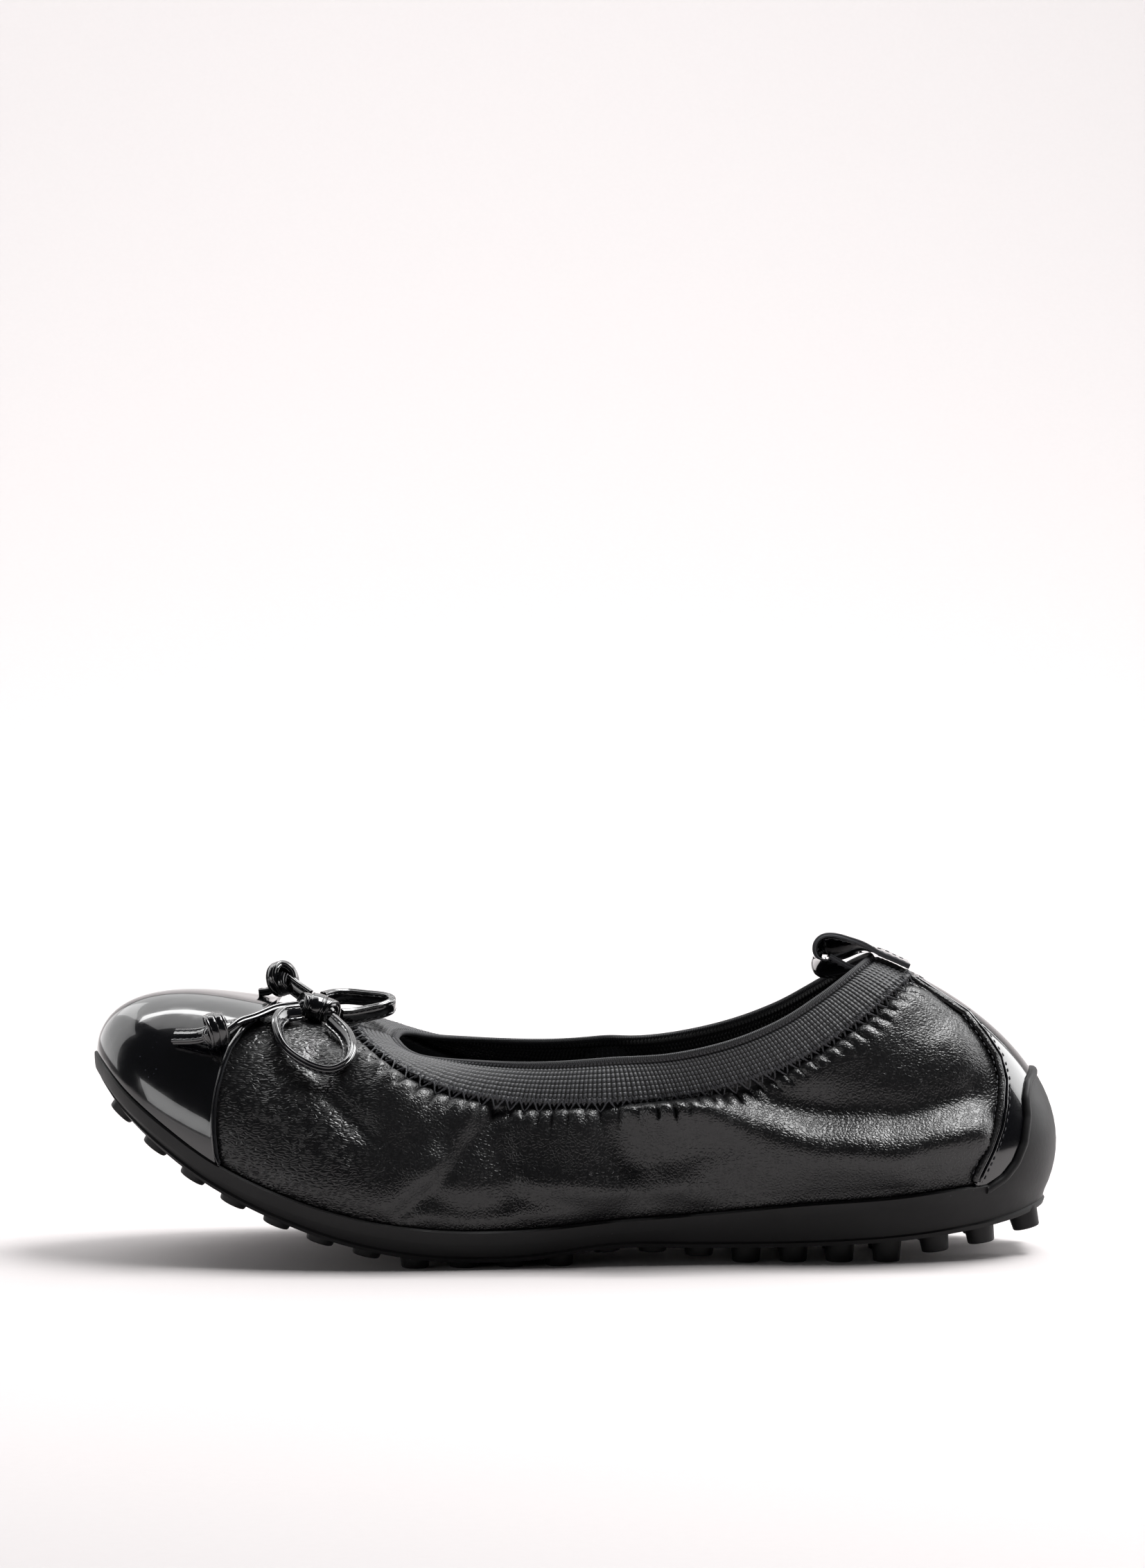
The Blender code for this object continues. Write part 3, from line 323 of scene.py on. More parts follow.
# Main creases of the quarter, seen from the outer side: height over the smooth wall (a trough is negative),
# half width, and the (x, z) points that it runs through.
CREASES = (
    (0.0038, 0.0052, ((0.014, 0.0395), (0.029, 0.0365), (0.043, 0.0318), (0.061, 0.0282), (0.078, 0.0274),
                      (0.098, 0.0305))),
    (-0.0018, 0.0044, ((0.040, 0.0425), (0.052, 0.0400), (0.066, 0.0372), (0.084, 0.0368), (0.098, 0.0400))),
    (0.0010, 0.0060, ((0.058, 0.0530), (0.076, 0.0505), (0.094, 0.0510))),
    (-0.0017, 0.0046, ((0.010, 0.0400), (0.012, 0.0310), (0.017, 0.0210))),
    (0.0012, 0.0060, ((0.001, 0.0370), (0.002, 0.0290), (0.006, 0.0190))),
    (-0.0016, 0.0026, ((-0.040, 0.0140), (-0.029, 0.0240), (-0.018, 0.0370))),
    (-0.0012, 0.0036, ((-0.0165, 0.0380), (-0.0170, 0.0290), (-0.0150, 0.0200))),
    (0.0012, 0.0046, ((-0.024, 0.0360), (-0.026, 0.0290), (-0.034, 0.0230))),
    (-0.0014, 0.0032, ((-0.032, 0.0170), (-0.025, 0.0150), (-0.016, 0.0160))),
    (-0.0008, 0.0026, ((-0.012, 0.0175), (0.004, 0.0152), (0.026, 0.0160))),
    (0.0006, 0.0034, ((-0.010, 0.0215), (0.008, 0.0196), (0.030, 0.0200))),
    (-0.0009, 0.0026, ((-0.062, 0.0480), (-0.058, 0.0400), (-0.050, 0.0330))),
    (0.0008, 0.0032, ((-0.056, 0.0470), (-0.051, 0.0400), (-0.042, 0.0330))),
    (0.0010, 0.0050, ((-0.044, 0.0400), (-0.036, 0.0330), (-0.034, 0.0250))),
    (0.0013, 0.0085, ((-0.060, 0.0215), (-0.030, 0.0170), (0.006, 0.0165), (0.026, 0.0190))),
    (0.0012, 0.0045, ((0.022, 0.0330), (0.030, 0.0270), (0.050, 0.0235), (0.080, 0.0235))),
)
# Where the leather puffs out most under the elastic: x of the middle, half width and the height added.
PUFFS = ((-0.0450, 0.0110, 1.2), (0.0290, 0.0130, 1.1), (-0.0120, 0.0070, 0.3), (0.0620, 0.0100, 0.2))
INNER_CREASE_SHARE = 0.7
INNER_CREASE_SHIFT = 0.009


def colour_choice(name, description, red, green, blue):
    """A colour that a user would change."""
    return bpy.props.FloatVectorProperty(
        name=name, description=description, subtype="COLOR", size=4, default=(red, green, blue, 1.0),
        min=0.0, max=1.0,
    )


def length_choice(name, description, default, low, high):
    """A length that a user would change."""
    return bpy.props.FloatProperty(
        name=name, description=description, default=default, min=low, max=high, subtype="DISTANCE",
        unit="LENGTH",
    )


def power_choice(name, description, default):
    """The power of a lamp that a user would change."""
    return bpy.props.FloatProperty(
        name=name, description=description, default=default, min=0.0, max=500.0, subtype="POWER",
        unit="POWER",
    )


class BalletFlatFinish(bpy.types.PropertyGroup):
    """Colours and textures of the materials"""

    leather: colour_choice("Leather", "Colour of the soft leather", 0.006, 0.006, 0.0065)
    patent: colour_choice("Patent", "Colour of the patent leather", 0.002, 0.002, 0.003)
    elastic: colour_choice("Elastic", "Colour of the woven elastic", 0.052, 0.053, 0.058)
    rubber: colour_choice("Rubber", "Colour of the sole", 0.004, 0.004, 0.0045)
    lining: colour_choice("Lining", "Colour of the lining and the sock", 0.034, 0.035, 0.038)
    thread: colour_choice("Thread", "Colour of the stitches", 0.034, 0.035, 0.039)
    grain: length_choice("Grain", "Size of a grain cell in the leather", 0.0009, 0.0002, 0.005)
    weave_columns: bpy.props.IntProperty(
        name="Weave columns", description="Threads counted once round the collar", default=320,
        min=40, max=900,
    )
    weave_rows: bpy.props.IntProperty(
        name="Weave rows", description="Threads counted across the elastic", default=9, min=3, max=30,
    )


class BalletFlatDetail(bpy.types.PropertyGroup):
    """Sizes of the creases, seams and edges"""

    gathers: bpy.props.IntProperty(
        name="Gathers", description="Small puffs of leather round the elastic", default=96, min=20, max=300,
    )
    gather_height: length_choice("Gather height", "Height of a puff", 0.0019, 0.0, 0.004)
    gather_reach: length_choice("Gather reach", "How far the slits run down", 0.0050, 0.0005, 0.02)
    crease_depth: bpy.props.FloatProperty(
        name="Crease depth", description="Share of the placed creases that shows", default=1.0, min=0.0,
        max=2.0, subtype="FACTOR",
    )
    thread_radius: length_choice("Thread", "Radius of a sewing thread", 0.00020, 0.00005, 0.001)
    piping_radius: length_choice("Piping", "Radius of the rolled edge of the elastic", 0.00075, 0.0002, 0.003)
    weave_relief: length_choice("Weave relief", "Height of a cord of the elastic", 0.00022, 0.0, 0.001)
    rolled_edge: length_choice("Rolled edge", "How far a folded leather edge stands up", 0.0005, 0.0, 0.002)


class BalletFlatStudio(bpy.types.PropertyGroup):
    """Camera, floor and lights"""

    distance: length_choice("Camera distance", "From the shoe's middle to the camera", 1.45, 0.3, 10.0)
    elevation: bpy.props.FloatProperty(
        name="Camera elevation", description="Height of the camera over the shoe, as an angle",
        default=math.radians(6.5), min=0.0, max=1.5, subtype="ANGLE", unit="ROTATION",
    )
    floor: colour_choice("Floor", "Colour of the floor", 0.66, 0.627, 0.627)
    ambient: bpy.props.FloatProperty(
        name="Ambient", description="Strength of the room's even light", default=0.035, min=0.0, max=5.0,
    )
    key: power_choice("Key light", "Power of the soft box above the shoe", 13.0)
    ceiling: power_choice("Ceiling", "Power of the broad light behind the key light", 34.0)
    panel: power_choice("Toe panel", "Power of the pale panel beyond the toe", 5.0)
    heel_panel: power_choice("Heel panel", "Power of the pale panel beyond the heel", 13.0)
    window: power_choice("Window", "Power of the low panel in front of the toe", 1.5)
    backdrop: power_choice("Backdrop light", "Power of the light on the backdrop", 30.0)


def ring_list(rows, columns, name, outer_sign=1.0, inner_name=None):
    """One column read round the shoe: heel, outer side, toe tip, inner side."""
    outer = [row[columns.index(name)] * outer_sign for row in rows]
    inner = [row[columns.index(inner_name or name)] for row in rows]
    return outer[::-1] + inner[1:-1]


RING = {
    "side": ring_list(SOLE_ROWS, SOLE_COLUMNS, "outer", -1.0, "inner"),
    "collar_y": ring_list(WALL_ROWS, WALL_COLUMNS, "collar_y", -1.0),
    "lift": ring_list(WALL_ROWS, WALL_COLUMNS, "lift", 0.0),
}
for column in ("along", "toe", "heel", "depth", "stud"):
    RING[column] = ring_list(SOLE_ROWS, SOLE_COLUMNS, column)
for column in ("collar_x", "collar_z", "rise", "swell", "reach", "arch"):
    RING[column] = ring_list(WALL_ROWS, WALL_COLUMNS, column)


def along_ring(name, place):
    """A column's value at any place round the ring, on a closed Catmull-Rom curve."""
    values = RING[name]
    first = math.floor(place)
    part = place - first
    a, b, c, d = (values[(first + step) % RING_STEPS] for step in (-1, 0, 1, 2))
    bend = (2 * a - 5 * b + 4 * c - d) * part ** 2 + (3 * b - a - 3 * c + d) * part ** 3
    return 0.5 * (2 * b + (c - a) * part + bend)


def tread_point(place):
    """The tread's centre line under a place on the ring, before the studs."""
    x = (along_ring("along", place) - 0.5) * LAST_LENGTH
    z = STUD_HEIGHT + along_ring("toe", place) * TOE_SPRING + along_ring("heel", place) * HEEL_SPRING
    return Vector((x, 0.0, z))


@functools.lru_cache(maxsize=None)
def tread_up(place):
    """The unit vector square to the tread's centre line, pointing up into the shoe."""
    section = abs(place % RING_STEPS - SECTIONS)
    ahead = tread_point(SECTIONS + max(section - 0.5, 0.0))
    behind = tread_point(SECTIONS + min(section + 0.5, SECTIONS))
    run = (behind - ahead).normalized()
    return Vector((-run.z, 0.0, run.x))


@functools.lru_cache(maxsize=None)
def feather(place):
    """The foot of the upper's inner face, on the footbed."""
    point = tread_point(place) + tread_up(place) * along_ring("depth", place) * SOLE_DEPTH
    point.y = along_ring("side", place) * BALL_HALF_WIDTH
    return point


@functools.lru_cache(maxsize=None)
def outward(place):
    """The unit vector that points out of the feather line in the plane of the sole."""
    step = 0.05
    run = feather(place + step) - feather(place - step)
    return tread_up(place).cross(run).normalized()


@functools.lru_cache(maxsize=None)
def wall_controls(place):
    """The four control points of the wall's curve from the footbed to the collar."""
    foot = feather(place)
    x = (COLLAR_SETBACK - 0.5 * LAST_LENGTH) + along_ring("collar_x", place) * COLLAR_LENGTH
    y = along_ring("collar_y", place) * COLLAR_HALF_WIDTH
    lift = along_ring("lift", place) * INSTEP_LIFT
    top = Vector((x, y, along_ring("collar_z", place) * COLLAR_HEIGHT + 0.5 * lift))
    flat = outward(place).copy()
    flat.z = 0.0
    spread = foot - top
    spread.z = 0.0
    up = Vector((0.0, 0.0, 1.0))
    low = foot + up * along_ring("rise", place) * WALL_RISE
    low += flat.normalized() * along_ring("swell", place) * WALL_SWELL
    high = top + spread.normalized() * along_ring("reach", place) * VAMP_REACH
    high += up * (along_ring("arch", place) * VAMP_ARCH + 0.5 * lift)
    return foot, low, high, top


def wall_point(place, share):
    """A point on the inner face: share runs from 0 at the footbed to 1 at the collar."""
    foot, low, high, top = wall_controls(place)
    rest = 1.0 - share
    lower = foot * rest ** 3 + low * (3.0 * rest * rest * share)
    return lower + high * (3.0 * rest * share * share) + top * share ** 3


def wall_out(place, share):
    """The unit vector out of the wall."""
    step = 0.02
    share = min(max(share, step), 1.0 - step)
    rise = wall_point(place, share + step) - wall_point(place, share - step)
    run = wall_point(place + step, share) - wall_point(place - step, share)
    return rise.cross(run).normalized()


@functools.lru_cache(maxsize=None)
def wall_lengths(place):
    """Lengths from the footbed up the wall, at even shares of its curve."""
    pieces = 40
    lengths = [0.0]
    for index in range(pieces):
        step = wall_point(place, (index + 1) / pieces) - wall_point(place, index / pieces)
        lengths.append(lengths[-1] + step.length)
    return lengths


@functools.lru_cache(maxsize=None)
def wall_share(place, distance):
    """The share of the wall at a distance up from the footbed, or if negative, down from the collar."""
    lengths = wall_lengths(place)
    target = distance if distance >= 0.0 else lengths[-1] + distance
    target = min(max(target, 0.0), lengths[-1])
    for index, low in enumerate(lengths[:-1]):
        high = lengths[index + 1]
        if target <= high:
            return (index + (target - low) / (high - low)) / (len(lengths) - 1)
    return 1.0


def share_length(place, share):
    """Length up the wall at a share of its curve."""
    lengths = wall_lengths(place)
    spot = min(max(share, 0.0), 1.0) * (len(lengths) - 1)
    index = min(int(spot), len(lengths) - 2)
    return lengths[index] + (lengths[index + 1] - lengths[index]) * (spot - index)


def wall_up(place, share):
    """The unit vector up the wall towards the collar."""
    step = 0.01
    share = min(max(share, step), 1.0 - step)
    return (wall_point(place, share + step) - wall_point(place, share - step)).normalized()


def layer_point(place, share, offset):
    """A point at an offset out from the wall's inner face."""
    return wall_point(place, share) + wall_out(place, share) * offset


def other_side(place):
    """The ring place across the shoe."""
    return (RING_STEPS - place) % RING_STEPS


def centring():
    """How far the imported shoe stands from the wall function's own origin, read at the insole."""
    low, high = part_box("insole")
    points = []
    for step in range(RING_STEPS * 2):
        place = 0.5 * step
        point = feather(place) - outward(place) * INSOLE_INSET
        points += [point, point + tread_up(place) * INSOLE_THICKNESS]
    x = 0.5 * (low.x + high.x - min(p.x for p in points) - max(p.x for p in points))
    y = 0.5 * (low.y + high.y - min(p.y for p in points) - max(p.y for p in points))
    return Vector((x, y, 0.0))


SHIFT = centring()
RUN_SPLIT = 8


@functools.lru_cache(maxsize=None)
def ring_lengths(foot_share):
    """Lengths round the ring at even places, along the collar plus a share of the feather line."""
    lengths = [0.0]
    for index in range(RUN_SPLIT * RING_STEPS):
        here = index / RUN_SPLIT
        after = (index + 1) / RUN_SPLIT
        top = (wall_point(after, 1.0) - wall_point(here, 1.0)).length
        foot = (wall_point(after, 0.0) - wall_point(here, 0.0)).length
        lengths.append(lengths[-1] + top + foot_share * foot)
    return lengths


@functools.lru_cache(maxsize=None)
def place_at(share, foot_share=0.0):
    """The ring place at a share of the way round, measured along the collar or a mean of collar and foot."""
    lengths = ring_lengths(foot_share)
    target = min(max(share, 0.0), 1.0) * lengths[-1]
    index = min(bisect.bisect_right(lengths, target), len(lengths) - 1) - 1
    part = (target - lengths[index]) / (lengths[index + 1] - lengths[index])
    return (index + part) / RUN_SPLIT


@functools.lru_cache(maxsize=None)
def collar_share(place):
    """How far round the collar a ring place lies, as a share of the collar's length."""
    lengths = ring_lengths(0.0)
    spot = (place % RING_STEPS) * RUN_SPLIT
    index = min(int(spot), len(lengths) - 2)
    return (lengths[index] + (lengths[index + 1] - lengths[index]) * (spot - index)) / lengths[-1]


def edge_x(table, height, run, low_z, high_z, direction, start):
    """A side-view edge line as x for a height z: table rows are shares of the run and of the rise."""
    up = (height - low_z) / (high_z - low_z)
    if up <= table[0][1]:
        return start + direction * table[0][0] * run
    for (back, rise), (next_back, next_rise) in zip(table, table[1:]):
        if up <= next_rise:
            part = (up - rise) / (next_rise - rise)
            return start + direction * (back + (next_back - back) * part) * run
    return start + direction * table[-1][0] * run


def cap_edge_x(z):
    """x of the toe cap's rear seam at a height."""
    return edge_x(CAP_EDGE, z, CAP_WING, 0.0, CAP_HEIGHT, 1.0, CAP_LENGTH - 0.5 * LAST_LENGTH)


def strip_edge_x(z):
    """x of the back strip's front edge at a height."""
    return edge_x(STRIP_EDGE, z, STRIP_RUN, 0.0, STRIP_HEIGHT, -1.0, 0.5 * LAST_LENGTH)


def in_cap(point):
    """Whether a side-view point lies under the toe cap."""
    return point.x < cap_edge_x(point.z)


def in_strip(point):
    """Whether a side-view point lies under the back strip."""
    return point.x > strip_edge_x(point.z)


def lip_height_near_tab():
    """Height of the sole's lip where the heel tab starts."""
    place = 0.0
    while True:
        point = layer_point(place, wall_share(place, LIP_HEIGHT), SOLE_FACE)
        if point.x <= 0.5 * LAST_LENGTH - HEEL_TAB_RUN:
            return point.z
        place += 0.1


TAB_LOW = lip_height_near_tab()


def in_heel_tab(point):
    """Whether a side-view point lies behind and under the heel tab's edge."""
    if point.z > HEEL_TAB_TOP:
        return False
    front = edge_x(HEEL_TAB_EDGE, point.z, HEEL_TAB_RUN, TAB_LOW, HEEL_TAB_TOP, -1.0, 0.5 * LAST_LENGTH)
    return point.x > front


def last_share(place, low, high, inside, offset):
    """The highest share between two where a test of the wall's point still holds, or the low one."""
    for index in range(SEARCH_STEPS, -1, -1):
        share = low + (high - low) * index / SEARCH_STEPS
        if not inside(layer_point(place, share, offset)):
            continue
        if index == SEARCH_STEPS:
            return high
        reach = (high - low) / SEARCH_STEPS
        for _ in range(SEARCH_HALVINGS):
            reach *= 0.5
            if inside(layer_point(place, share + reach, offset)):
                share += reach
        return share
    return low


@functools.lru_cache(maxsize=None)
def tab_share(place):
    """The top of the rubber wall at a place: the lip, or the heel tab's edge at the back."""
    lip = wall_share(place, LIP_HEIGHT)
    return last_share(place, lip, TAB_SHARE_LIMIT, in_heel_tab, SOLE_FACE)


def seam_share(place, inside):
    """A seam's share at a place, between the sole's lip and the elastic."""
    low = wall_share(place, LIP_HEIGHT + CLEARANCE)
    high = wall_share(place, -BAND_WIDTH - CLEARANCE)
    return last_share(place, low, high, inside, LEATHER + OVERLAY)


@functools.lru_cache(maxsize=None)
def cap_share(place):
    """The toe cap's seam at a place."""
    return seam_share(place, in_cap)


@functools.lru_cache(maxsize=None)
def strip_share(place):
    """The back strip's upper or front edge at a place."""
    return seam_share(place, in_strip)


def seam_place(near, far, inside):
    """Where a seam meets the sole's lip, between a place where the test holds and one where it doesn't."""
    for _ in range(SEAM_HALVINGS):
        middle = 0.5 * (near + far)
        if inside(layer_point(middle, wall_share(middle, LIP_HEIGHT + CLEARANCE), LEATHER + OVERLAY)):
            near = middle
        else:
            far = middle
    return near


def new_sheet():
    """An empty bmesh with a UV map."""
    sheet = bmesh.new()
    sheet.loops.layers.uv.new("UVMap")
    return sheet


def grid_sheet(columns, rows, put, closed=False):
    """A grid whose corners are placed by a function of two shares, which stay as its UV."""
    sheet = new_sheet()
    bmesh.ops.create_grid(sheet, x_segments=columns, y_segments=rows, size=0.5, calc_uvs=True)
    for vert in sheet.verts:
        vert.co = put(round(vert.co.x + 0.5, 6), round(vert.co.y + 0.5, 6)) + SHIFT
    if closed:
        bmesh.ops.remove_doubles(sheet, verts=sheet.verts, dist=GRID_MERGE)
        bmesh.ops.dissolve_degenerate(sheet, edges=sheet.edges, dist=GRID_SLIVER)
    return sheet


def add_piece(name, sheet, materials, nodes=(), outwards=True):
    """A finished mesh as a piece on the shoe's one body."""
    if outwards:
        bmesh.ops.recalc_face_normals(sheet, faces=sheet.faces)
    mesh = bpy.data.meshes.new(name)
    sheet.to_mesh(mesh)
    sheet.free()
    for finish in materials:
        mesh.materials.append(finish)
    mesh.shade_smooth()
    mesh.set_sharp_from_angle(angle=math.radians(50))
    made = bpy.data.objects.new(name, mesh)
    bpy.context.scene.collection.objects.link(made)
    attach(made, "root")
    if nodes:
        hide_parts(*nodes)
    return made


def add_skin(name, sheet, materials, node, thickness):
    """An open sheet on the shoe as a piece: faces turned outwards, and the wall given inwards from them."""
    middle = Vector((0.0, 0.0, 0.03))
    sheet.normal_update()
    votes = sum((face.calc_center_median() - middle).dot(face.normal) for face in sheet.faces)
    if votes < 0.0:
        bmesh.ops.reverse_faces(sheet, faces=sheet.faces)
    wall = add_piece(name, sheet, materials, [node], False).modifiers.new("wall", "SOLIDIFY")
    wall.thickness = thickness
    wall.offset = -1.0
    wall.use_even_offset = False
    wall.use_rim = True
    wall.material_offset = len(materials) - 1


def add_swept(name, sheet, materials, nodes=()):
    """Sweeps and stitches as a piece: open ends closed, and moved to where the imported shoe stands."""
    ends = [edge for edge in sheet.edges if edge.is_boundary]
    if ends:
        bmesh.ops.holes_fill(sheet, edges=ends, sides=0)
    bmesh.ops.translate(sheet, vec=SHIFT, verts=sheet.verts)
    add_piece(name, sheet, materials, nodes)


def put_node(tree, kind, sockets=None, **settings):
    """A new shader node with its settings, and its sockets set or linked."""
    made = tree.nodes.new(kind)
    for name, value in settings.items():
        setattr(made, name, value)
    for name, value in (sockets or {}).items():
        if isinstance(value, bpy.types.NodeSocket):
            tree.links.new(value, made.inputs[name])
        else:
            made.inputs[name].default_value = value
    return made


def calc(tree, operation, *values):
    """The output of a Math node."""
    made = put_node(tree, "ShaderNodeMath", dict(enumerate(values)), operation=operation)
    return made.outputs[0]


def ramp(tree, value, low, high, low_out=0.0, high_out=1.0):
    """A value mapped smoothly from one range to another."""
    sockets = {"Value": value, "From Min": low, "From Max": high, "To Min": low_out, "To Max": high_out}
    return put_node(tree, "ShaderNodeMapRange", sockets, interpolation_type="SMOOTHSTEP").outputs[0]


def noise_field(tree, place, scale, detail):
    """The output of a Noise texture."""
    sockets = {"Vector": place, "Scale": scale, "Detail": detail}
    return put_node(tree, "ShaderNodeTexNoise", sockets).outputs[0]


def vectors(tree, operation, first, second):
    """The output of a Vector Math node."""
    return put_node(tree, "ShaderNodeVectorMath", {0: first, 1: second}, operation=operation).outputs[0]


def new_group(name, inputs, outputs):
    """A shader node group with a vector socket and float sockets: its tree, inputs and output node."""
    made = bpy.data.node_groups.new(name, "ShaderNodeTree")
    made.interface.new_socket("Vector", in_out="INPUT", socket_type="NodeSocketVector")
    for label, default in inputs.items():
        socket = made.interface.new_socket(label, in_out="INPUT", socket_type="NodeSocketFloat")
        socket.default_value = default
    for label in outputs:
        made.interface.new_socket(label, in_out="OUTPUT", socket_type="NodeSocketFloat")
    return made, made.nodes.new("NodeGroupInput").outputs, made.nodes.new("NodeGroupOutput")


def grain_group():
    """Leather grain: small domed cells with finer pores, drawn out into wrinkles where the leather bends."""
    found = bpy.data.node_groups.get("leather grain")
    if found:
        return found
    tree, given, result = new_group("leather grain", {"Cell": 0.0009, "Wrinkle": 0.5}, ("Height", "Patch"))
    place = given["Vector"]
    scale = calc(tree, "DIVIDE", 1.0, given["Cell"])
    warp = put_node(tree, "ShaderNodeTexNoise", {"Vector": place, "Scale": 260.0, "Detail": 2.0})
    centred = vectors(tree, "SUBTRACT", warp.outputs["Color"], (0.5, 0.5, 0.5))
    spot = vectors(tree, "ADD", place, vectors(tree, "MULTIPLY", centred, (0.0018, 0.0018, 0.0018)))
    drawn = vectors(tree, "MULTIPLY", spot, (0.5, 0.8, 1.5))
    domes = []
    for point, far in ((spot, 0.30), (drawn, 0.34)):
        cells = put_node(tree, "ShaderNodeTexVoronoi", {"Vector": point, "Scale": scale},
                         feature="DISTANCE_TO_EDGE")
        domes.append(ramp(tree, cells.outputs["Distance"], 0.0, far))
    pores = noise_field(tree, place, 2400.0, 2.0)
    blend = put_node(tree, "ShaderNodeMix", {"Factor": given["Wrinkle"], "A": domes[0], "B": domes[1]})
    high = calc(tree, "ADD", 0.66, calc(tree, "MULTIPLY", given["Wrinkle"], 0.3))
    height = calc(tree, "ADD", calc(tree, "MULTIPLY", blend.outputs[0], high),
                  calc(tree, "MULTIPLY", pores, 0.22))
    tree.links.new(height, result.inputs["Height"])
    tree.links.new(noise_field(tree, place, 45.0, 3.0), result.inputs["Patch"])
    return tree


def weave_group():
    """Woven elastic on a piece's own UV: raised cords up the band, crossed by fine gaps."""
    found = bpy.data.node_groups.get("elastic weave")
    if found:
        return found
    inputs = {"Columns": 320.0, "Rows": 9.0, "Slant": 0.0}
    tree, given, result = new_group("elastic weave", inputs, ("Height", "Gap"))
    parts = put_node(tree, "ShaderNodeSeparateXYZ", {0: given["Vector"]})
    across = calc(tree, "MULTIPLY", parts.outputs[1], given["Rows"])
    slant = calc(tree, "MULTIPLY", across, given["Slant"])
    along = calc(tree, "ADD", calc(tree, "MULTIPLY", parts.outputs[0], given["Columns"]), slant)
    cord = calc(tree, "ABSOLUTE", calc(tree, "SINE", calc(tree, "MULTIPLY", along, math.pi)))
    row = calc(tree, "ABSOLUTE", calc(tree, "SINE", calc(tree, "MULTIPLY", across, math.pi)))
    cord_top = ramp(tree, cord, 0.15, 0.95)
    row_top = ramp(tree, row, 0.10, 0.75)
    both = calc(tree, "MULTIPLY", cord_top, calc(tree, "ADD", 0.35, calc(tree, "MULTIPLY", row_top, 0.65)))
    fuzz = noise_field(tree, given["Vector"], 900.0, 3.0)
    height = calc(tree, "ADD", both, calc(tree, "MULTIPLY", fuzz, 0.12))
    tree.links.new(height, result.inputs["Height"])
    tree.links.new(calc(tree, "SUBTRACT", 1.0, both), result.inputs["Gap"])
    return tree


def dust_group():
    """Sparse specks of dust with soft patches where they gather."""
    found = bpy.data.node_groups.get("dust")
    if found:
        return found
    tree, given, result = new_group("dust", {"Spacing": 0.004, "Amount": 0.5}, ("Specks",))
    place = given["Vector"]
    scale = calc(tree, "DIVIDE", 1.0, given["Spacing"])
    spots = put_node(tree, "ShaderNodeTexVoronoi", {"Vector": place, "Scale": scale})
    near = ramp(tree, spots.outputs["Distance"], 0.03, 0.07, 1.0, 0.0)
    chosen = ramp(tree, noise_field(tree, place, 70.0, 2.0), 0.50, 0.62)
    specks = calc(tree, "MULTIPLY", calc(tree, "MULTIPLY", near, chosen), given["Amount"])
    tree.links.new(specks, result.inputs["Specks"])
    return tree


def start_material(name):
    """A new material with its node tree and its Principled shader."""
    made = bpy.data.materials.new(name)
    made.use_nodes = True
    tree = made.node_tree
    return made, tree, tree.nodes["Principled BSDF"]


def use_group(tree, group, sockets):
    """The outputs of a node group placed in a material."""
    return put_node(tree, "ShaderNodeGroup", sockets, node_tree=group).outputs


def object_place(tree):
    """Object coordinates."""
    return tree.nodes.new("ShaderNodeTexCoord").outputs["Object"]


def uv_place(tree):
    """The piece's own UV map."""
    return put_node(tree, "ShaderNodeUVMap", uv_map="UVMap").outputs[0]


def shaded(colour, share):
    """A colour made darker or lighter by a share."""
    return tuple(min(channel * share, 1.0) for channel in colour[:3]) + (1.0,)


def tint(tree, shader, colour, factor, share):
    """Base colour that is lightened by a share where a factor is high."""
    mixed = put_node(tree, "ShaderNodeMix", {"Factor": factor}, data_type="RGBA")
    mixed.inputs["A"].default_value = colour
    mixed.inputs["B"].default_value = shaded(colour, share)
    tree.links.new(mixed.outputs["Result"], shader.inputs["Base Color"])


def bump(tree, shader, height, distance, strength):
    """Feed a height to the shader's normal."""
    made = put_node(tree, "ShaderNodeBump", {"Height": height, "Distance": distance, "Strength": strength})
    tree.links.new(made.outputs["Normal"], shader.inputs["Normal"])


def material(name):
    """Turn a function that sets up a finish's nodes into one that makes its material once and returns it."""
    kept = []

    def wrap_builder(builder):
        @functools.wraps(builder)
        def wrapped():
            if not kept:
                made, tree, shader = start_material(name)
                builder(tree, shader, bpy.context.scene.ballet_flat_finish)
                kept.append(made)
            return kept[0]

        return wrapped

    return wrap_builder


@material("nappa leather")
def nappa(tree, shader, finish):
    """Soft grained leather, more wrinkled over the toes and under the elastic than on the flanks."""
    place = object_place(tree)
    parts = put_node(tree, "ShaderNodeSeparateXYZ", {0: place})
    cloud = noise_field(tree, place, 38.0, 2.0)
    forward = calc(tree, "ADD", parts.outputs[0], calc(tree, "MULTIPLY", cloud, 0.05))
    front = ramp(tree, forward, -0.035, 0.0, 1.0, 0.0)
    upper = calc(tree, "ADD", parts.outputs[2], calc(tree, "MULTIPLY", cloud, 0.02))
    top = ramp(tree, upper, 0.045, 0.060, 0.0, 0.4)
    wrinkle = calc(tree, "MAXIMUM", calc(tree, "MAXIMUM", front, top), 0.12)
    grain = use_group(tree, grain_group(), {"Vector": place, "Cell": finish.grain, "Wrinkle": wrinkle})
    tint(tree, shader, finish.leather, grain["Patch"], 1.5)
    tree.links.new(ramp(tree, grain["Patch"], 0.3, 0.7, 0.26, 0.34), shader.inputs["Roughness"])
    bump(tree, shader, grain["Height"], 0.00011, 0.9)


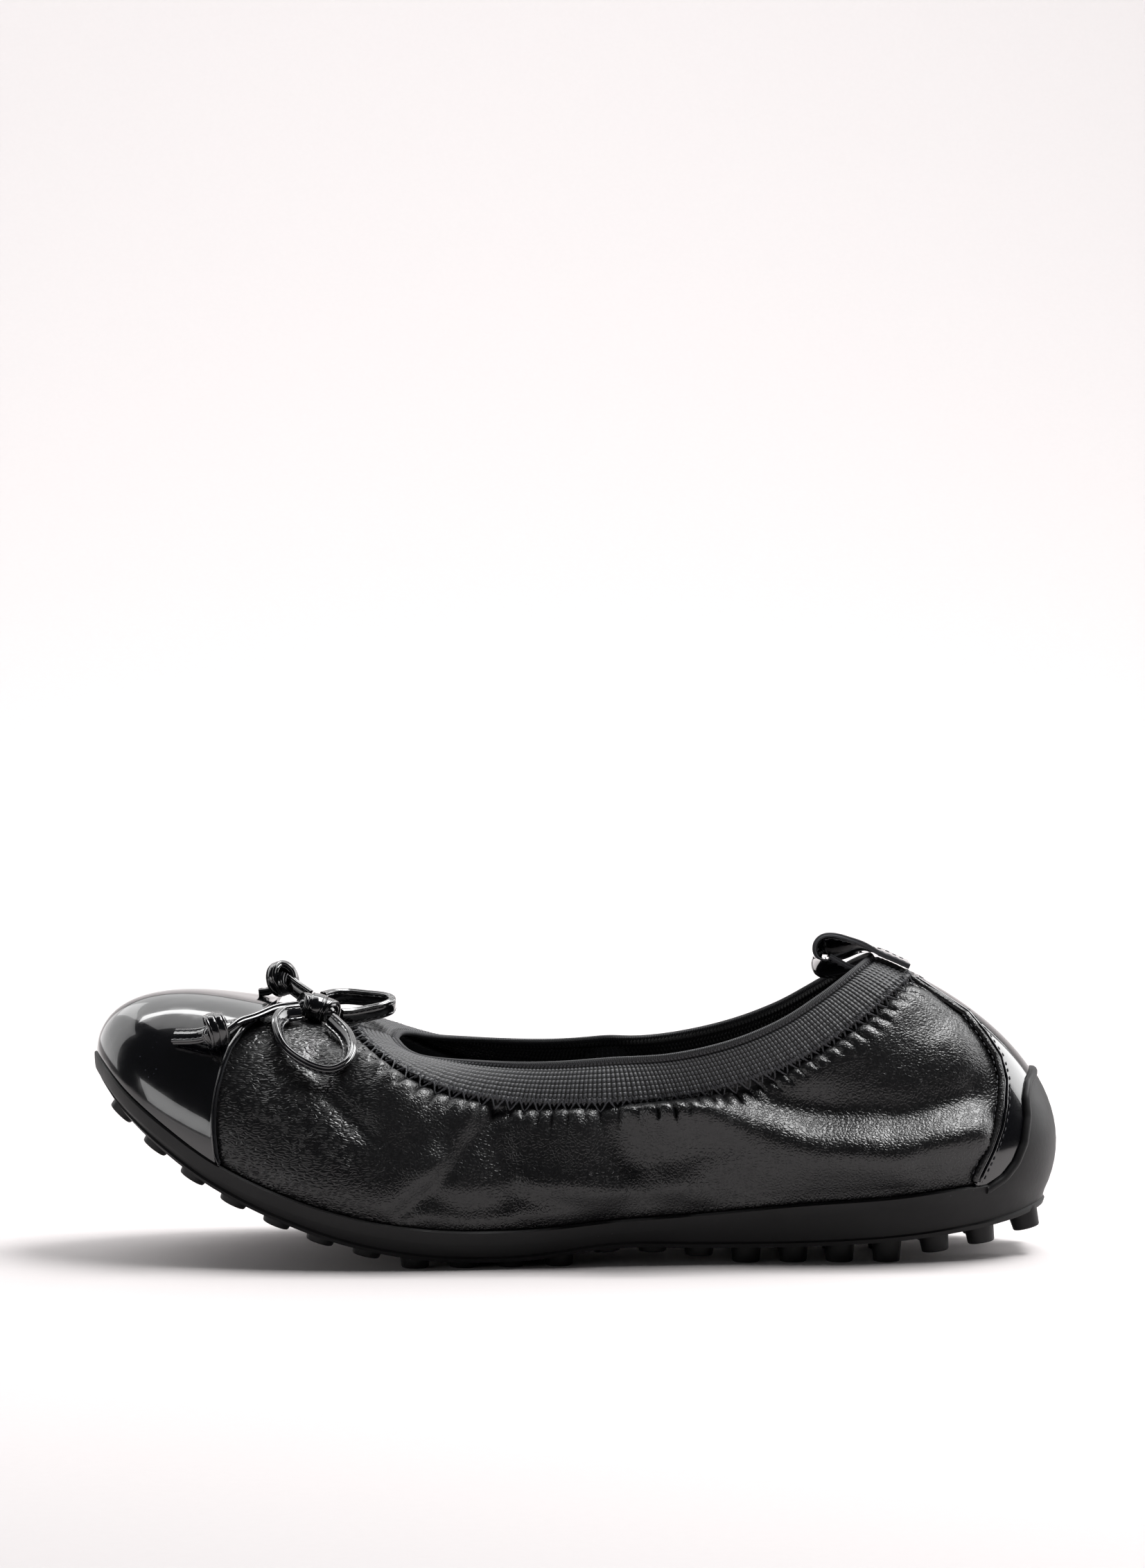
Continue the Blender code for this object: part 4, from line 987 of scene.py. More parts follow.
@material("patent leather")
def patent(tree, shader, finish):
    """Patent leather: a clear glossy skin with a slow waver and a little dust."""
    place = object_place(tree)
    dust = use_group(tree, dust_group(), {"Vector": place, "Spacing": 0.0021, "Amount": 0.8})
    tint(tree, shader, finish.patent, dust["Specks"], 60.0)
    tree.links.new(ramp(tree, dust["Specks"], 0.0, 1.0, 0.16, 0.7), shader.inputs["Roughness"])
    shader.inputs["Coat Weight"].default_value = 1.0
    shader.inputs["Coat Roughness"].default_value = 0.025
    bump(tree, shader, noise_field(tree, place, 95.0, 2.0), 0.0011, 0.25)


@material("woven elastic")
def elastic(tree, shader, finish):
    """The woven elastic of the collar, its cord tops lighter and the gaps between its cords darkened with
    painted shade.
    """
    weave = use_group(tree, weave_group(), {
        "Vector": uv_place(tree), "Columns": float(finish.weave_columns), "Rows": float(finish.weave_rows),
    })
    # Painted shade: the cord tops take about the elastic's colour and the gaps between them a twentieth of it
    lit = ramp(tree, weave["Gap"], 0.15, 0.75, 1.0, 0.0)
    tint(tree, shader, shaded(finish.elastic, 0.05), lit, 22.0)
    shader.inputs["Roughness"].default_value = 0.48
    bump(tree, shader, weave["Height"], 0.00016, 0.6)


@material("rolled elastic")
def piping_elastic(tree, shader, finish):
    """The rolled edge of the elastic, with its threads running round it and painted shade in the gaps between
    them.
    """
    weave = use_group(tree, weave_group(), {
        "Vector": uv_place(tree), "Columns": 2.0 * finish.weave_columns, "Rows": 3.0, "Slant": 1.0,
    })
    # Painted shade: the thread tops take about the elastic's colour and the gaps between them a ninth of it
    lit = ramp(tree, weave["Gap"], 0.1, 0.9, 1.0, 0.0)
    tint(tree, shader, shaded(finish.elastic, 0.12), lit, 9.0)
    shader.inputs["Roughness"].default_value = 0.66
    bump(tree, shader, weave["Height"], 0.00018, 0.8)


@material("thread")
def thread(tree, shader, finish):
    """Sewing thread with a slight twist."""
    twist = noise_field(tree, object_place(tree), 3500.0, 1.0)
    tint(tree, shader, finish.thread, twist, 2.2)
    shader.inputs["Roughness"].default_value = 0.55
    bump(tree, shader, twist, 0.0001, 0.6)


@material("black rubber")
def rubber(tree, shader, finish):
    """Moulded rubber with a fine mould texture and dust."""
    place = object_place(tree)
    skin = noise_field(tree, place, 900.0, 5.0)
    patches = noise_field(tree, place, 60.0, 4.0)
    dust = use_group(tree, dust_group(), {"Vector": place, "Spacing": 0.0030, "Amount": 0.5})
    pale = calc(tree, "ADD", calc(tree, "MULTIPLY", patches, 0.03), dust["Specks"])
    tint(tree, shader, finish.rubber, pale, 12.0)
    shader.inputs["Specular IOR Level"].default_value = 0.3
    tree.links.new(ramp(tree, patches, 0.3, 0.7, 0.46, 0.58), shader.inputs["Roughness"])
    bump(tree, shader, skin, 0.0001, 0.35)


@material("lining")
def lining(tree, shader, finish):
    """The dark lining inside the leather."""
    grain = use_group(tree, grain_group(), {"Vector": object_place(tree), "Cell": 0.0005, "Wrinkle": 0.3})
    tint(tree, shader, finish.lining, grain["Patch"], 1.6)
    shader.inputs["Roughness"].default_value = 0.75
    bump(tree, shader, grain["Height"], 0.0001, 0.4)


@material("raw edge")
def raw_edge(tree, shader, finish):
    """The matt cut edge of a strap."""
    fibres = noise_field(tree, object_place(tree), 2200.0, 4.0)
    tint(tree, shader, finish.thread, fibres, 1.6)
    shader.inputs["Roughness"].default_value = 0.8
    bump(tree, shader, fibres, 0.0001, 0.5)


def smooth_step(value, low, high):
    """A smooth rise from 0 to 1 between two values."""
    share = min(max((value - low) / (high - low), 0.0), 1.0)
    return share * share * (3.0 - 2.0 * share)


def bell(distance, width):
    """A hump that is 1 at a distance of 0 and falls away over a width."""
    return math.exp(-(distance / width) ** 2)


def crease_relief(x, z):
    """The sum of the placed creases at a side-view point."""
    total = 0.0
    for height, width, path in CREASES:
        nearest = 1.0
        for (ax, az), (bx, bz) in zip(path, path[1:]):
            run_x = bx - ax
            run_z = bz - az
            share = ((x - ax) * run_x + (z - az) * run_z) / (run_x * run_x + run_z * run_z)
            share = min(max(share, 0.0), 1.0)
            nearest = min(nearest, (x - ax - run_x * share) ** 2 + (z - az - run_z * share) ** 2)
        total += height * math.exp(-nearest / (width * width))
    return total


def gather_relief(place, point, below, detail):
    """The shoulder where the leather swells out under the elastic, cut by slits at the zigzag's points."""
    turn = collar_share(place) * detail.gathers
    jitter = noise.noise(Vector((turn * 0.35, 3.1, 0.0))) * 0.10
    wave = abs(math.cos(math.pi * (turn + jitter)))
    down = max(below, 0.0)
    reach = detail.gather_reach * (1.0 + 0.6 * noise.noise(Vector((turn * 0.43, 0.0, 7.7))))
    size = 0.75 + 0.5 * noise.noise(Vector((turn * 0.13, 5.3, 0.0)))
    size += sum(share * bell(point.x - middle, width) for middle, width, share in PUFFS)
    size *= smooth_step(point.x, -0.060, -0.050) * smooth_step(-point.x, -0.100, -0.075)
    swell = (1.0 - bell(down, GATHER_RISE)) * (1.0 - smooth_step(down, *GATHER_FALL))
    slit = bell(wave, SLIT_WIDTH) * math.exp(-(down / reach) ** 4)
    ripple = RIPPLE * (wave - 0.6) * bell(down, 1.6 * reach)
    return detail.gather_height * size * swell * (1.0 - SLIT_DEPTH * slit) + ripple


def skin_relief(place, share, point, detail):
    """How far the leather stands off its smooth form."""
    if point.x < cap_edge_x(point.z) + 0.002 or point.x > strip_edge_x(point.z) - 0.002:
        return 0.0
    climbed = share_length(place, share)
    below = wall_lengths(place)[-1] - BAND_WIDTH - climbed
    outer = point.y < 0.0
    x = point.x if outer else point.x + INNER_CREASE_SHIFT
    crease = crease_relief(x, point.z) * (1.0 if outer else INNER_CREASE_SHARE) * detail.crease_depth
    crease *= smooth_step(abs(point.y), 0.004, 0.014)
    soft = noise.noise(point * 70.0) * 0.00035 + noise.noise(point * 190.0) * 0.00010
    free = smooth_step(climbed, LIP_HEIGHT, LIP_HEIGHT + 0.004) * smooth_step(below, -0.0005, 0.0025)
    return (crease + soft) * free + gather_relief(place, point, below, detail)


def sweep(sheet, rings, finish=None):
    """A skin through rings of points; finish gives a face's material by its turn round the ring."""
    last = len(rings) - 1
    count = len(rings[0])
    made = bmesh.ops.create_grid(sheet, x_segments=last, y_segments=count, size=0.5, calc_uvs=True)["verts"]
    if finish:
        for face in {face for vert in made for face in vert.link_faces}:
            turn = int((face.calc_center_median().y + 0.5) * count)
            face.material_index = finish(turn)
    for vert in made:
        along = round((vert.co.x + 0.5) * last)
        turn = round((vert.co.y + 0.5) * count) % count
        vert.co = rings[along][turn]
    bmesh.ops.remove_doubles(sheet, verts=made, dist=0.000001)


def heading(route, index):
    """The way a route runs at one of its points."""
    return route[min(index + 1, len(route) - 1)] - route[max(index - 1, 0)]


def spaced(route, pitch, first, last):
    """The indices along a route where another pitch has been travelled."""
    travelled = 0.0
    for index in range(first, last):
        travelled += (route[index] - route[index - 1]).length
        if travelled >= pitch:
            travelled = 0.0
            yield index


def tube(sheet, route, radius, sides):
    """A round cord through a route of points."""
    rings = []
    angles = [2.0 * math.pi * step / sides for step in range(sides)]
    for index, point in enumerate(route):
        run = heading(route, index).normalized()
        side = run.cross(Vector((0.31, 0.11, 0.94))).normalized()
        up = side.cross(run)
        rings.append([point + (side * math.cos(angle) + up * math.sin(angle)) * radius for angle in angles])
    sweep(sheet, rings)


def stitch(sheet, start, end, out, radius):
    """One stitch: a short thread that is thickest in the middle and dips at both ends."""
    run = end - start
    across = out.cross(run).normalized()
    up = run.cross(across).normalized()
    turn = Matrix((run.normalized(), across, up)).transposed().to_4x4()
    place = Matrix.Translation((start + end) * 0.5)
    size = Matrix.Diagonal((0.5 * run.length + 0.5 * radius, radius, radius, 1.0))
    bmesh.ops.create_uvsphere(
        sheet, u_segments=STITCH_SIDES, v_segments=STITCH_SIDES - 1, radius=1.0, matrix=place @ turn @ size,
        calc_uvs=True,
    )


def smooth_route(points, split):
    """A Catmull-Rom curve through open points, split evenly between each pair."""
    padded = [points[0] * 2.0 - points[1]] + list(points) + [points[-1] * 2.0 - points[-2]]
    route = []
    for index in range(1, len(padded) - 2):
        a, b, c, d = padded[index - 1:index + 3]
        for step in range(split):
            t = step / split
            bend = (a * 2.0 - b * 5.0 + c * 4.0 - d) * t ** 2 + (b * 3.0 - a - c * 3.0 + d) * t ** 3
            route.append((b * 2.0 + (c - a) * t + bend) * 0.5)
    route.append(points[-1].copy())
    return route


def strap_profile(width, thickness, channel):
    """Points round a folded strap's section: rolled lips at both edges, and sunk channels for stitches."""
    half = 0.5 * width
    thin = 0.5 * thickness
    lip = 0.5 * thin
    corner = (-0.6, 0.1, 0.8, 1.57)
    dip = ((0.75, 0.97), (1.0, 0.82), (1.3, 0.97))
    quarter = [(half - lip + lip * math.cos(angle), lip + lip * math.sin(angle)) for angle in corner]
    quarter += [(half - back * channel, deep * thin) for back, deep in dip]
    crown = 1.04 * thin
    top = [(half - 0.45 * lip, 0.0)] + quarter + [(0.0, crown)] + [(-x, z) for x, z in reversed(quarter)]
    bottom = [(-half + 0.45 * lip, 0.0)] + [(-x, -z) for x, z in quarter] + [(0.0, -crown)]
    return top + bottom + [(x, -z) for x, z in reversed(quarter)]


def strap(sheet, route, sides, width, thickness, channel=STRAP_CHANNEL, edge_material=0):
    """A flat folded strap along a route; sides are the directions of its width."""
    profile = strap_profile(width, thickness, channel)
    lips = 0.5 * (width - 1.1 * thickness)
    rings = []
    for index, point in enumerate(route):
        run = heading(route, index)
        face = run.cross(sides[index]).normalized()
        side = face.cross(run).normalized()
        rings.append([point + side * across + face * out for across, out in profile])

    def finish(turn):
        return edge_material if abs(profile[turn % len(profile)][0]) > lips else 0

    sweep(sheet, rings, finish)


def strap_stitches(sheet, route, sides, width, thickness, channel=STRAP_CHANNEL, pitch=STRAP_PITCH):
    """Rows of stitches in both channels of a strap, on both of its faces."""
    radius = bpy.context.scene.ballet_flat_detail.thread_radius * 0.7
    for index in spaced(route, pitch, 1, len(route) - 1):
        run = heading(route, index)
        face = run.cross(sides[index]).normalized()
        side = face.cross(run).normalized()
        half = run.normalized() * pitch * 0.34
        for out in (1.0, -1.0):
            for edge in (1.0, -1.0):
                spot = route[index] + side * edge * (0.5 * width - channel) + face * out * 0.46 * thickness
                stitch(sheet, spot - half, spot + half, face * out, radius)


def wrap(sheet, centre, axis, radii, width, thickness, turns, start, slide):
    """A strap wound on an oval of two radii round an axis, its ends tucked in, with a slide along it."""
    axis = axis.normalized()
    side = axis.cross(Vector((0.0, 0.0, 1.0))).normalized()
    up = side.cross(axis)
    route = []
    steps = int(36 * turns)
    for step in range(steps + 1):
        share = step / steps
        angle = start + 2.0 * math.pi * turns * share
        tuck = smooth_step(share, 0.0, 0.14) * smooth_step(1.0 - share, 0.0, 0.14)
        spoke = side * math.cos(angle) * radii[0] + up * math.sin(angle) * radii[1]
        route.append(centre + spoke * (0.5 + 0.5 * tuck) + axis * (share - 0.5) * slide)
    strap(sheet, route, [axis] * len(route), width, thickness, WRAP_CHANNEL)


def plan_gap(spot, x, y):
    """The squared distance of a spot on the wall from x and y in the plan."""
    point = wall_point(spot[0], spot[1])
    return (point.x - x) ** 2 + (point.y - y) ** 2


def on_vamp(x, y, offset):
    """The point over the vamp at x and y, an offset out from its inner face, and the way out there."""
    sections = [SECTIONS + VAMP_SIDE_STEP * step for step in range(-VAMP_SIDE_STEPS, VAMP_SIDE_STEPS + 1)]
    shares = [VAMP_LOW_SHARE + VAMP_CLIMB_STEP * step for step in range(VAMP_STEPS + 1)]
    reach = 0.5 * VAMP_SIDE_STEP
    spots = [(place, share) for place in sections for share in shares]
    for _ in range(VAMP_TURNS):
        best = min(spots, key=lambda spot: plan_gap(spot, x, y))
        spots = []
        for step in (-1, 0, 1):
            for climb in (-0.1, 0.0, 0.1):
                spots.append((best[0] + reach * step, min(best[1] + reach * climb, 1.0)))
        reach *= 0.6
    place, share = min(spots, key=lambda spot: plan_gap(spot, x, y))
    return layer_point(place, share, offset), wall_out(place, share)


def bow_middle():
    """The middle of the bow's knot, resting on the vamp."""
    x = BOW_SETBACK - 0.5 * LAST_LENGTH
    return on_vamp(x, BOW_SIDE, LEATHER + CLEARANCE + 0.5 * BOW_KNOT_HEIGHT)


def lying_route(table, length, offset):
    """A route over the vamp from a table of shares, and the way out at each of its points."""
    middle = Vector((BOW_SETBACK - 0.5 * LAST_LENGTH, BOW_SIDE, 0.0))
    points = []
    for along, across, lift in table:
        place = middle + Vector((along, across, 0.0)) * length
        points.append(on_vamp(place.x, place.y, offset + lift * length))
    return points


class BALLET_FLAT_OT_upper(bpy.types.Operator):
    """Make the leather vamp and quarters with their creases, gathers and lining"""

    bl_idname = "ballet_flat.upper"
    bl_label = "Upper"

    def execute(self, context):
        detail = context.scene.ballet_flat_detail

        def put(u, v):
            place = place_at(u, UPPER_FOOT_SHARE)
            top = wall_share(place, BAND_OVERLAP - BAND_WIDTH)
            share = top * v
            point = wall_point(place, share)
            relief = skin_relief(place, share, point, detail)
            return point + wall_out(place, share) * (LEATHER + relief)

        sheet = grid_sheet(*UPPER_GRID, put, closed=True)
        add_skin("vamp_and_quarters", sheet, [nappa(), lining()], "upper", LEATHER)
        return {"FINISHED"}


class BALLET_FLAT_OT_toe_cap(bpy.types.Operator):
    """Make the patent toe cap with its rolled rear edge"""

    bl_idname = "ballet_flat.toe_cap"
    bl_label = "Toe cap"

    def execute(self, context):
        detail = context.scene.ballet_flat_detail
        first = seam_place(SECTIONS - 2.0, SECTIONS - 7.0, in_cap)
        last = RING_STEPS - first

        def put(u, v):
            place = first + (last - first) * u
            low = wall_share(place, LIP_HEIGHT + CLEARANCE)
            high = cap_share(place)
            share = low + (high - low) * (1.0 - (1.0 - v) ** CAP_CROWDING)
            point = wall_point(place, share)
            back = share_length(place, high) - share_length(place, share)
            roll = detail.rolled_edge * bell(back - CAP_ROLL, CAP_ROLL)
            waver = CAP_WAVER * noise.noise(point * 60.0) * smooth_step(back, 0.0, 0.004)
            return point + wall_out(place, share) * (OVERLAY_FACE + roll + waver)

        sheet = grid_sheet(*CAP_GRID, put)
        add_skin("toe_cap_skin", sheet, [patent(), raw_edge()], "toe_cap", OVERLAY)
        return {"FINISHED"}


class BALLET_FLAT_OT_back_strip(bpy.types.Operator):
    """Make the patent strip up the back of the heel with its folded edges"""

    bl_idname = "ballet_flat.back_strip"
    bl_label = "Back strip"

    def execute(self, context):
        detail = context.scene.ballet_flat_detail
        reach = seam_place(0.5, 6.0, in_strip)

        def put(u, v):
            place = (reach * (2.0 * u - 1.0)) % RING_STEPS
            low = max(tab_share(place) + STRIP_TAB_GAP, wall_share(place, LIP_HEIGHT + CLEARANCE))
            high = max(strip_share(place), low)
            share = low + (high - low) * v
            edge = share_length(place, high) - share_length(place, share)
            roll = STRIP_ROLL_SHARE * detail.rolled_edge * bell(edge - STRIP_ROLL, STRIP_ROLL)
            return layer_point(place, share, OVERLAY_FACE + roll)

        sheet = grid_sheet(*STRIP_GRID, put)
        add_skin("back_strip_skin", sheet, [patent(), raw_edge()], "back_strip", OVERLAY)
        self.edges(detail, reach)
        return {"FINISHED"}

    @staticmethod
    def edges(detail, reach):
        """The piped edge of the strip, the folded lip behind it and a row of stitches on each side."""
        piping = new_sheet()
        lips = new_sheet()
        threads = new_sheet()
        for side in (1.0, -1.0):
            route = []
            outs = []
            for step in range(EDGE_POINTS + 1):
                place = side * reach * step / EDGE_POINTS
                share = strip_share(place % RING_STEPS)
                route.append(layer_point(place, share, LEATHER + CLEARANCE + PIPED_EDGE_LIFT))
                outs.append(wall_out(place, share))
            tube(piping, route, PIPED_EDGE_RADIUS, 10)
            backs = []
            for index, out in enumerate(outs):
                back = heading(route, index).cross(out).normalized()
                backs.append(back if back.x > 0.0 else -back)
            lip = [point + back * EDGE_LIP_SETBACK + out * EDGE_LIP_LIFT
                   for point, back, out in zip(route, backs, outs)]
            tube(lips, lip[2:], EDGE_LIP_RADIUS, 8)
            for index in spaced(route, EDGE_STITCH_PITCH, 2, EDGE_POINTS - 1):
                half = heading(route, index).normalized() * EDGE_STITCH_HALF
                for setback, lift in EDGE_STITCH_ROWS:
                    spot = route[index] + backs[index] * setback + outs[index] * lift
                    stitch(threads, spot - half, spot + half, outs[index], detail.thread_radius * 0.8)
        add_swept("back_strip_edge", piping, [nappa()])
        add_swept("back_strip_lip", lips, [patent()])
        add_swept("back_strip_stitches", threads, [thread()])


class BALLET_FLAT_OT_collar(bpy.types.Operator):
    """Make the woven elastic collar with its rolled edge and its zigzag seam"""

    bl_idname = "ballet_flat.collar"
    bl_label = "Collar"

    def execute(self, context):
        detail = context.scene.ballet_flat_detail
        columns = context.scene.ballet_flat_finish.weave_columns
        rows = context.scene.ballet_flat_finish.weave_rows

        def put(u, v):
            place = place_at(u)
            low = wall_share(place, -BAND_WIDTH)
            cord = abs(math.sin(math.pi * columns * u)) ** CORD_ROUNDNESS
            row = 0.3 + 0.7 * abs(math.sin(math.pi * rows * v)) ** CORD_ROUNDNESS
            pucker = BAND_PUCKER * math.sin(2.0 * math.pi * detail.gathers * u) * (1.0 - v) ** 2
            crown = BAND_CROWN * math.sin(math.pi * v)
            groove = BAND_GROOVE * bell((1.0 - v) * BAND_WIDTH - BAND_GROOVE_SETBACK, BAND_GROOVE_WIDTH)
            lift = crown + pucker - groove + detail.weave_relief * (cord * row - 0.6)
            return layer_point(place, low + (1.0 - low) * v, OVERLAY_FACE + lift)

        sheet = grid_sheet(4 * columns, 4 * rows, put, closed=True)
        add_skin("elastic_band", sheet, [elastic()], "collar_band", OVERLAY)

        def roll(u, v):
            place = place_at(u)
            out = wall_out(place, 1.0)
            up = (wall_point(place, 1.0) - wall_point(place, 0.97)).normalized()
            middle = layer_point(place, 1.0, PIPING_MIDDLE) + up * 0.0001
            angle = 2.0 * math.pi * v
            return middle + (out * math.cos(angle) + up * math.sin(angle)) * detail.piping_radius

        sheet = grid_sheet(*PIPING_GRID, roll, closed=True)
        add_piece("elastic_piping", sheet, [piping_elastic()])
        self.zigzag(detail)
        return {"FINISHED"}

    @staticmethod
    def zigzag(detail):
        """The overlocked edge of the elastic, and the zigzag that holds it to the leather."""
        sheet = new_sheet()
        for share, high, low, thick in ZIGZAGS:
            count = share * detail.gathers
            corners = []
            for step in range(2 * count + 1):
                place = place_at((0.5 * step / count) % 1.0)
                reach, lift = low if step % 2 else high
                corners.append(layer_point(place, wall_share(place, -BAND_WIDTH + reach), lift))
            tube(sheet, smooth_route(corners, 3), detail.thread_radius * thick, 5)
        add_swept("collar_zigzag", sheet, [thread()])


class BALLET_FLAT_OT_sole(bpy.types.Operator):
    """Make the rubber cup sole with its heel tab, tread flange and studs"""

    bl_idname = "ballet_flat.sole"
    bl_label = "Sole"

    def execute(self, context):
        count = len(self.side(1.0))
        rows = 2 * count

        def put(u, v):
            place = round(SECTIONS * u ** SOLE_CROWDING, 6)
            index = int(round(v * rows)) % rows
            if index < count:
                return self.side(place)[index]
            return self.side(other_side(place))[rows - 1 - index]

        sheet = grid_sheet(SOLE_LENGTHS, rows, put, closed=True)
        bmesh.ops.remove_doubles(sheet, verts=sheet.verts, dist=FINE_MERGE)
        made = add_piece("cup_sole", sheet, [rubber()], ["outsole"])
        made.data.set_sharp_from_angle(angle=math.radians(35))
        self.studs()
        self.tab_rim()
        return {"FINISHED"}

    @staticmethod
    @functools.lru_cache(maxsize=None)
    def side(place):
        """Points of half the sole's section, from the tread's edge over the rubber wall to the footbed."""
        up = tread_up(place)
        depth = along_ring("depth", place) * SOLE_DEPTH
        edge = feather(place) - up * depth + outward(place) * (SOLE_FACE - TREAD_TUCK)
        top = tab_share(place)
        climb = [top * index / SOLE_LEVELS for index in range(SOLE_LEVELS + 1)]
        foot = layer_point(place, 0.0, SOLE_FACE)
        side = foot - edge
        bulge = wall_out(place, 0.0) - up
        bulge = (bulge - side * bulge.dot(side) / side.length_squared).normalized()
        step = min(FLANGE_DEPTH / side.length, FLANGE_SHARE)
        ease = FLANGE_EASE * step
        flange = edge + bulge * FLANGE_OUT * min(side.length * FLANGE_SHARE / FLANGE_DEPTH, 1.0)
        points = [edge, flange + side * ease * 0.6, flange + side * ease * 1.4, flange + side * step]
        points += [edge + side * (step + ease), edge + side * (step + 2.0 * ease)]
        points += [layer_point(place, share, SOLE_FACE) for share in climb]
        crest = layer_point(place, climb[-1], SOLE_FACE - 0.4 * RUBBER_WALL)
        points.append(crest + wall_up(place, climb[-1]) * SOLE_CREST)
        points += [layer_point(place, share, LEATHER + CLEARANCE) for share in reversed(climb)]
        points[-1] = points[-1] - up * CLEARANCE
        return points

    @staticmethod
    def studs():
        """Round studs with eased rims on the whole tread, as one piece."""
        sheet = bmesh.new()
        for centre, up, reach in stud_spots():
            grounded = centre.z - reach * up.z < STUD_GROUND_REACH
            axis = Vector((0.0, 0.0, 1.0)) if grounded else up
            height = STUD_ROOT + (centre.z if grounded else reach)
            one = bmesh.new()
            bmesh.ops.create_cone(
                one, cap_ends=True, segments=STUD_SIDES, radius1=STUD_RADIUS * STUD_TAPER,
                radius2=STUD_RADIUS, depth=height,
            )
            rim = [edge for edge in one.edges if all(vert.co.z < 0.0 for vert in edge.verts)]
            bmesh.ops.bevel(
                one, geom=rim, affect="EDGES", offset=STUD_EASE, segments=2, profile=0.5, material=-1,
            )
            base = min(one.faces, key=lambda face: face.calc_center_median().z)
            bmesh.ops.inset_individual(one, faces=[base], thickness=STUD_DISH[0], depth=0.0)
            bmesh.ops.inset_individual(one, faces=[base], thickness=STUD_DISH[1], depth=-STUD_DISH[1])
            turn = Vector((0.0, 0.0, 1.0)).rotation_difference(axis)
            bmesh.ops.rotate(one, verts=one.verts, cent=(0, 0, 0), matrix=turn.to_matrix())
            bmesh.ops.translate(one, verts=one.verts, vec=centre + axis * (STUD_ROOT - 0.5 * height) + SHIFT)
            mesh = bpy.data.meshes.new("stud")
            one.to_mesh(mesh)
            one.free()
            sheet.from_mesh(mesh)
            bpy.data.meshes.remove(mesh)
        add_piece("tread_studs", sheet, [rubber()])

    @staticmethod
    def tab_rim():
        """The raised rim round the heel tab's edge."""
        route = []
        for step in range(-TAB_RIM_STEPS, TAB_RIM_STEPS + 1):
            place = step * TAB_RIM_STEP
            share = tab_share(place % RING_STEPS)
            point = layer_point(place, share, SOLE_FACE - TAB_RIM_SINK)
            route.append(point - wall_up(place, share) * TAB_RIM_SETBACK)
        sheet = bmesh.new()
        tube(sheet, even_route(route, TAB_RIM_SPACING), TAB_RIM_RADIUS, 12)
        add_swept("heel_tab_rim", sheet, [rubber()])


def even_route(points, spacing):
    """The same line with points that are a spacing apart."""
    kept = [points[0]]
    travelled = 0.0
    for before, here in zip(points, points[1:]):
        gap = (here - before).length
        while travelled + gap >= spacing:
            share = (spacing - travelled) / gap
            before = before.lerp(here, share)
            kept.append(before)
            gap = (here - before).length
            travelled = 0.0
        travelled += gap
    kept.append(points[-1])
    return kept


def stud_spots():
    """Centre, axis and height of each stud: rows across the tread, a pitch apart along it."""
    steps = 40 * SECTIONS
    places = [SECTIONS - SECTIONS * index / steps for index in range(steps + 1)]
    route = [tread_point(place) for place in places]
    return [spot for index in spaced(route, STUD_PITCH, 1, len(route)) for spot in stud_row(places[index])]


def tread_edge(place):
    """The edge of the tread at a place."""
    depth = along_ring("depth", place) * SOLE_DEPTH
    out = outward(place) * (SOLE_FACE - TREAD_TUCK)
    return feather(place) - tread_up(place) * depth + out


def stud_row(place):
    """The studs of one row: evenly spread between the tread's edges."""
    outer = tread_edge(place)
    inner = tread_edge(other_side(place))
    inset = STUD_RADIUS + STUD_INSET
    width = (inner - outer).length - 2.0 * inset
    if width < STUD_PITCH:
        return []
    count = max(int(width // STUD_ROW_PITCH), 1) + 1
    side = (inner - outer).normalized()
    reach = STUD_HEIGHT + along_ring("stud", place) * (HEEL_STUD_HEIGHT - STUD_HEIGHT)
    spots = []
    for index in range(count):
        centre = outer + side * (inset + width * index / (count - 1))
        spots.append((centre, tread_up(place), reach))
    return spots


class BALLET_FLAT_OT_sock(bpy.types.Operator):
    """Make the sock on the footbed with its edge rounded down"""

    bl_idname = "ballet_flat.sock"
    bl_label = "Sock"

    def execute(self, context):
        last = SOCK_WIDTHS + 2

        def put(u, v):
            place = round(SECTIONS * u, 6)
            outer, inner = (feather(end) - outward(end) * INSOLE_INSET for end in (place, other_side(place)))
            index = int(round(v * last))
            if index in (0, last):
                return outer
            if index == last - 1:
                return inner
            share = (index - 1) / (SOCK_WIDTHS - 1)
            edge = smooth_step(min(share, 1.0 - share), 0.0, 0.08)
            lift = INSOLE_THICKNESS * (0.55 + 0.45 * edge)
            return outer.lerp(inner, share) + tread_up(place) * lift

        sheet = grid_sheet(SOCK_LENGTHS, last, put, closed=True)
        bmesh.ops.remove_doubles(sheet, verts=sheet.verts, dist=FINE_MERGE)
        add_piece("sock", sheet, [lining()], ["insole"])
        return {"FINISHED"}


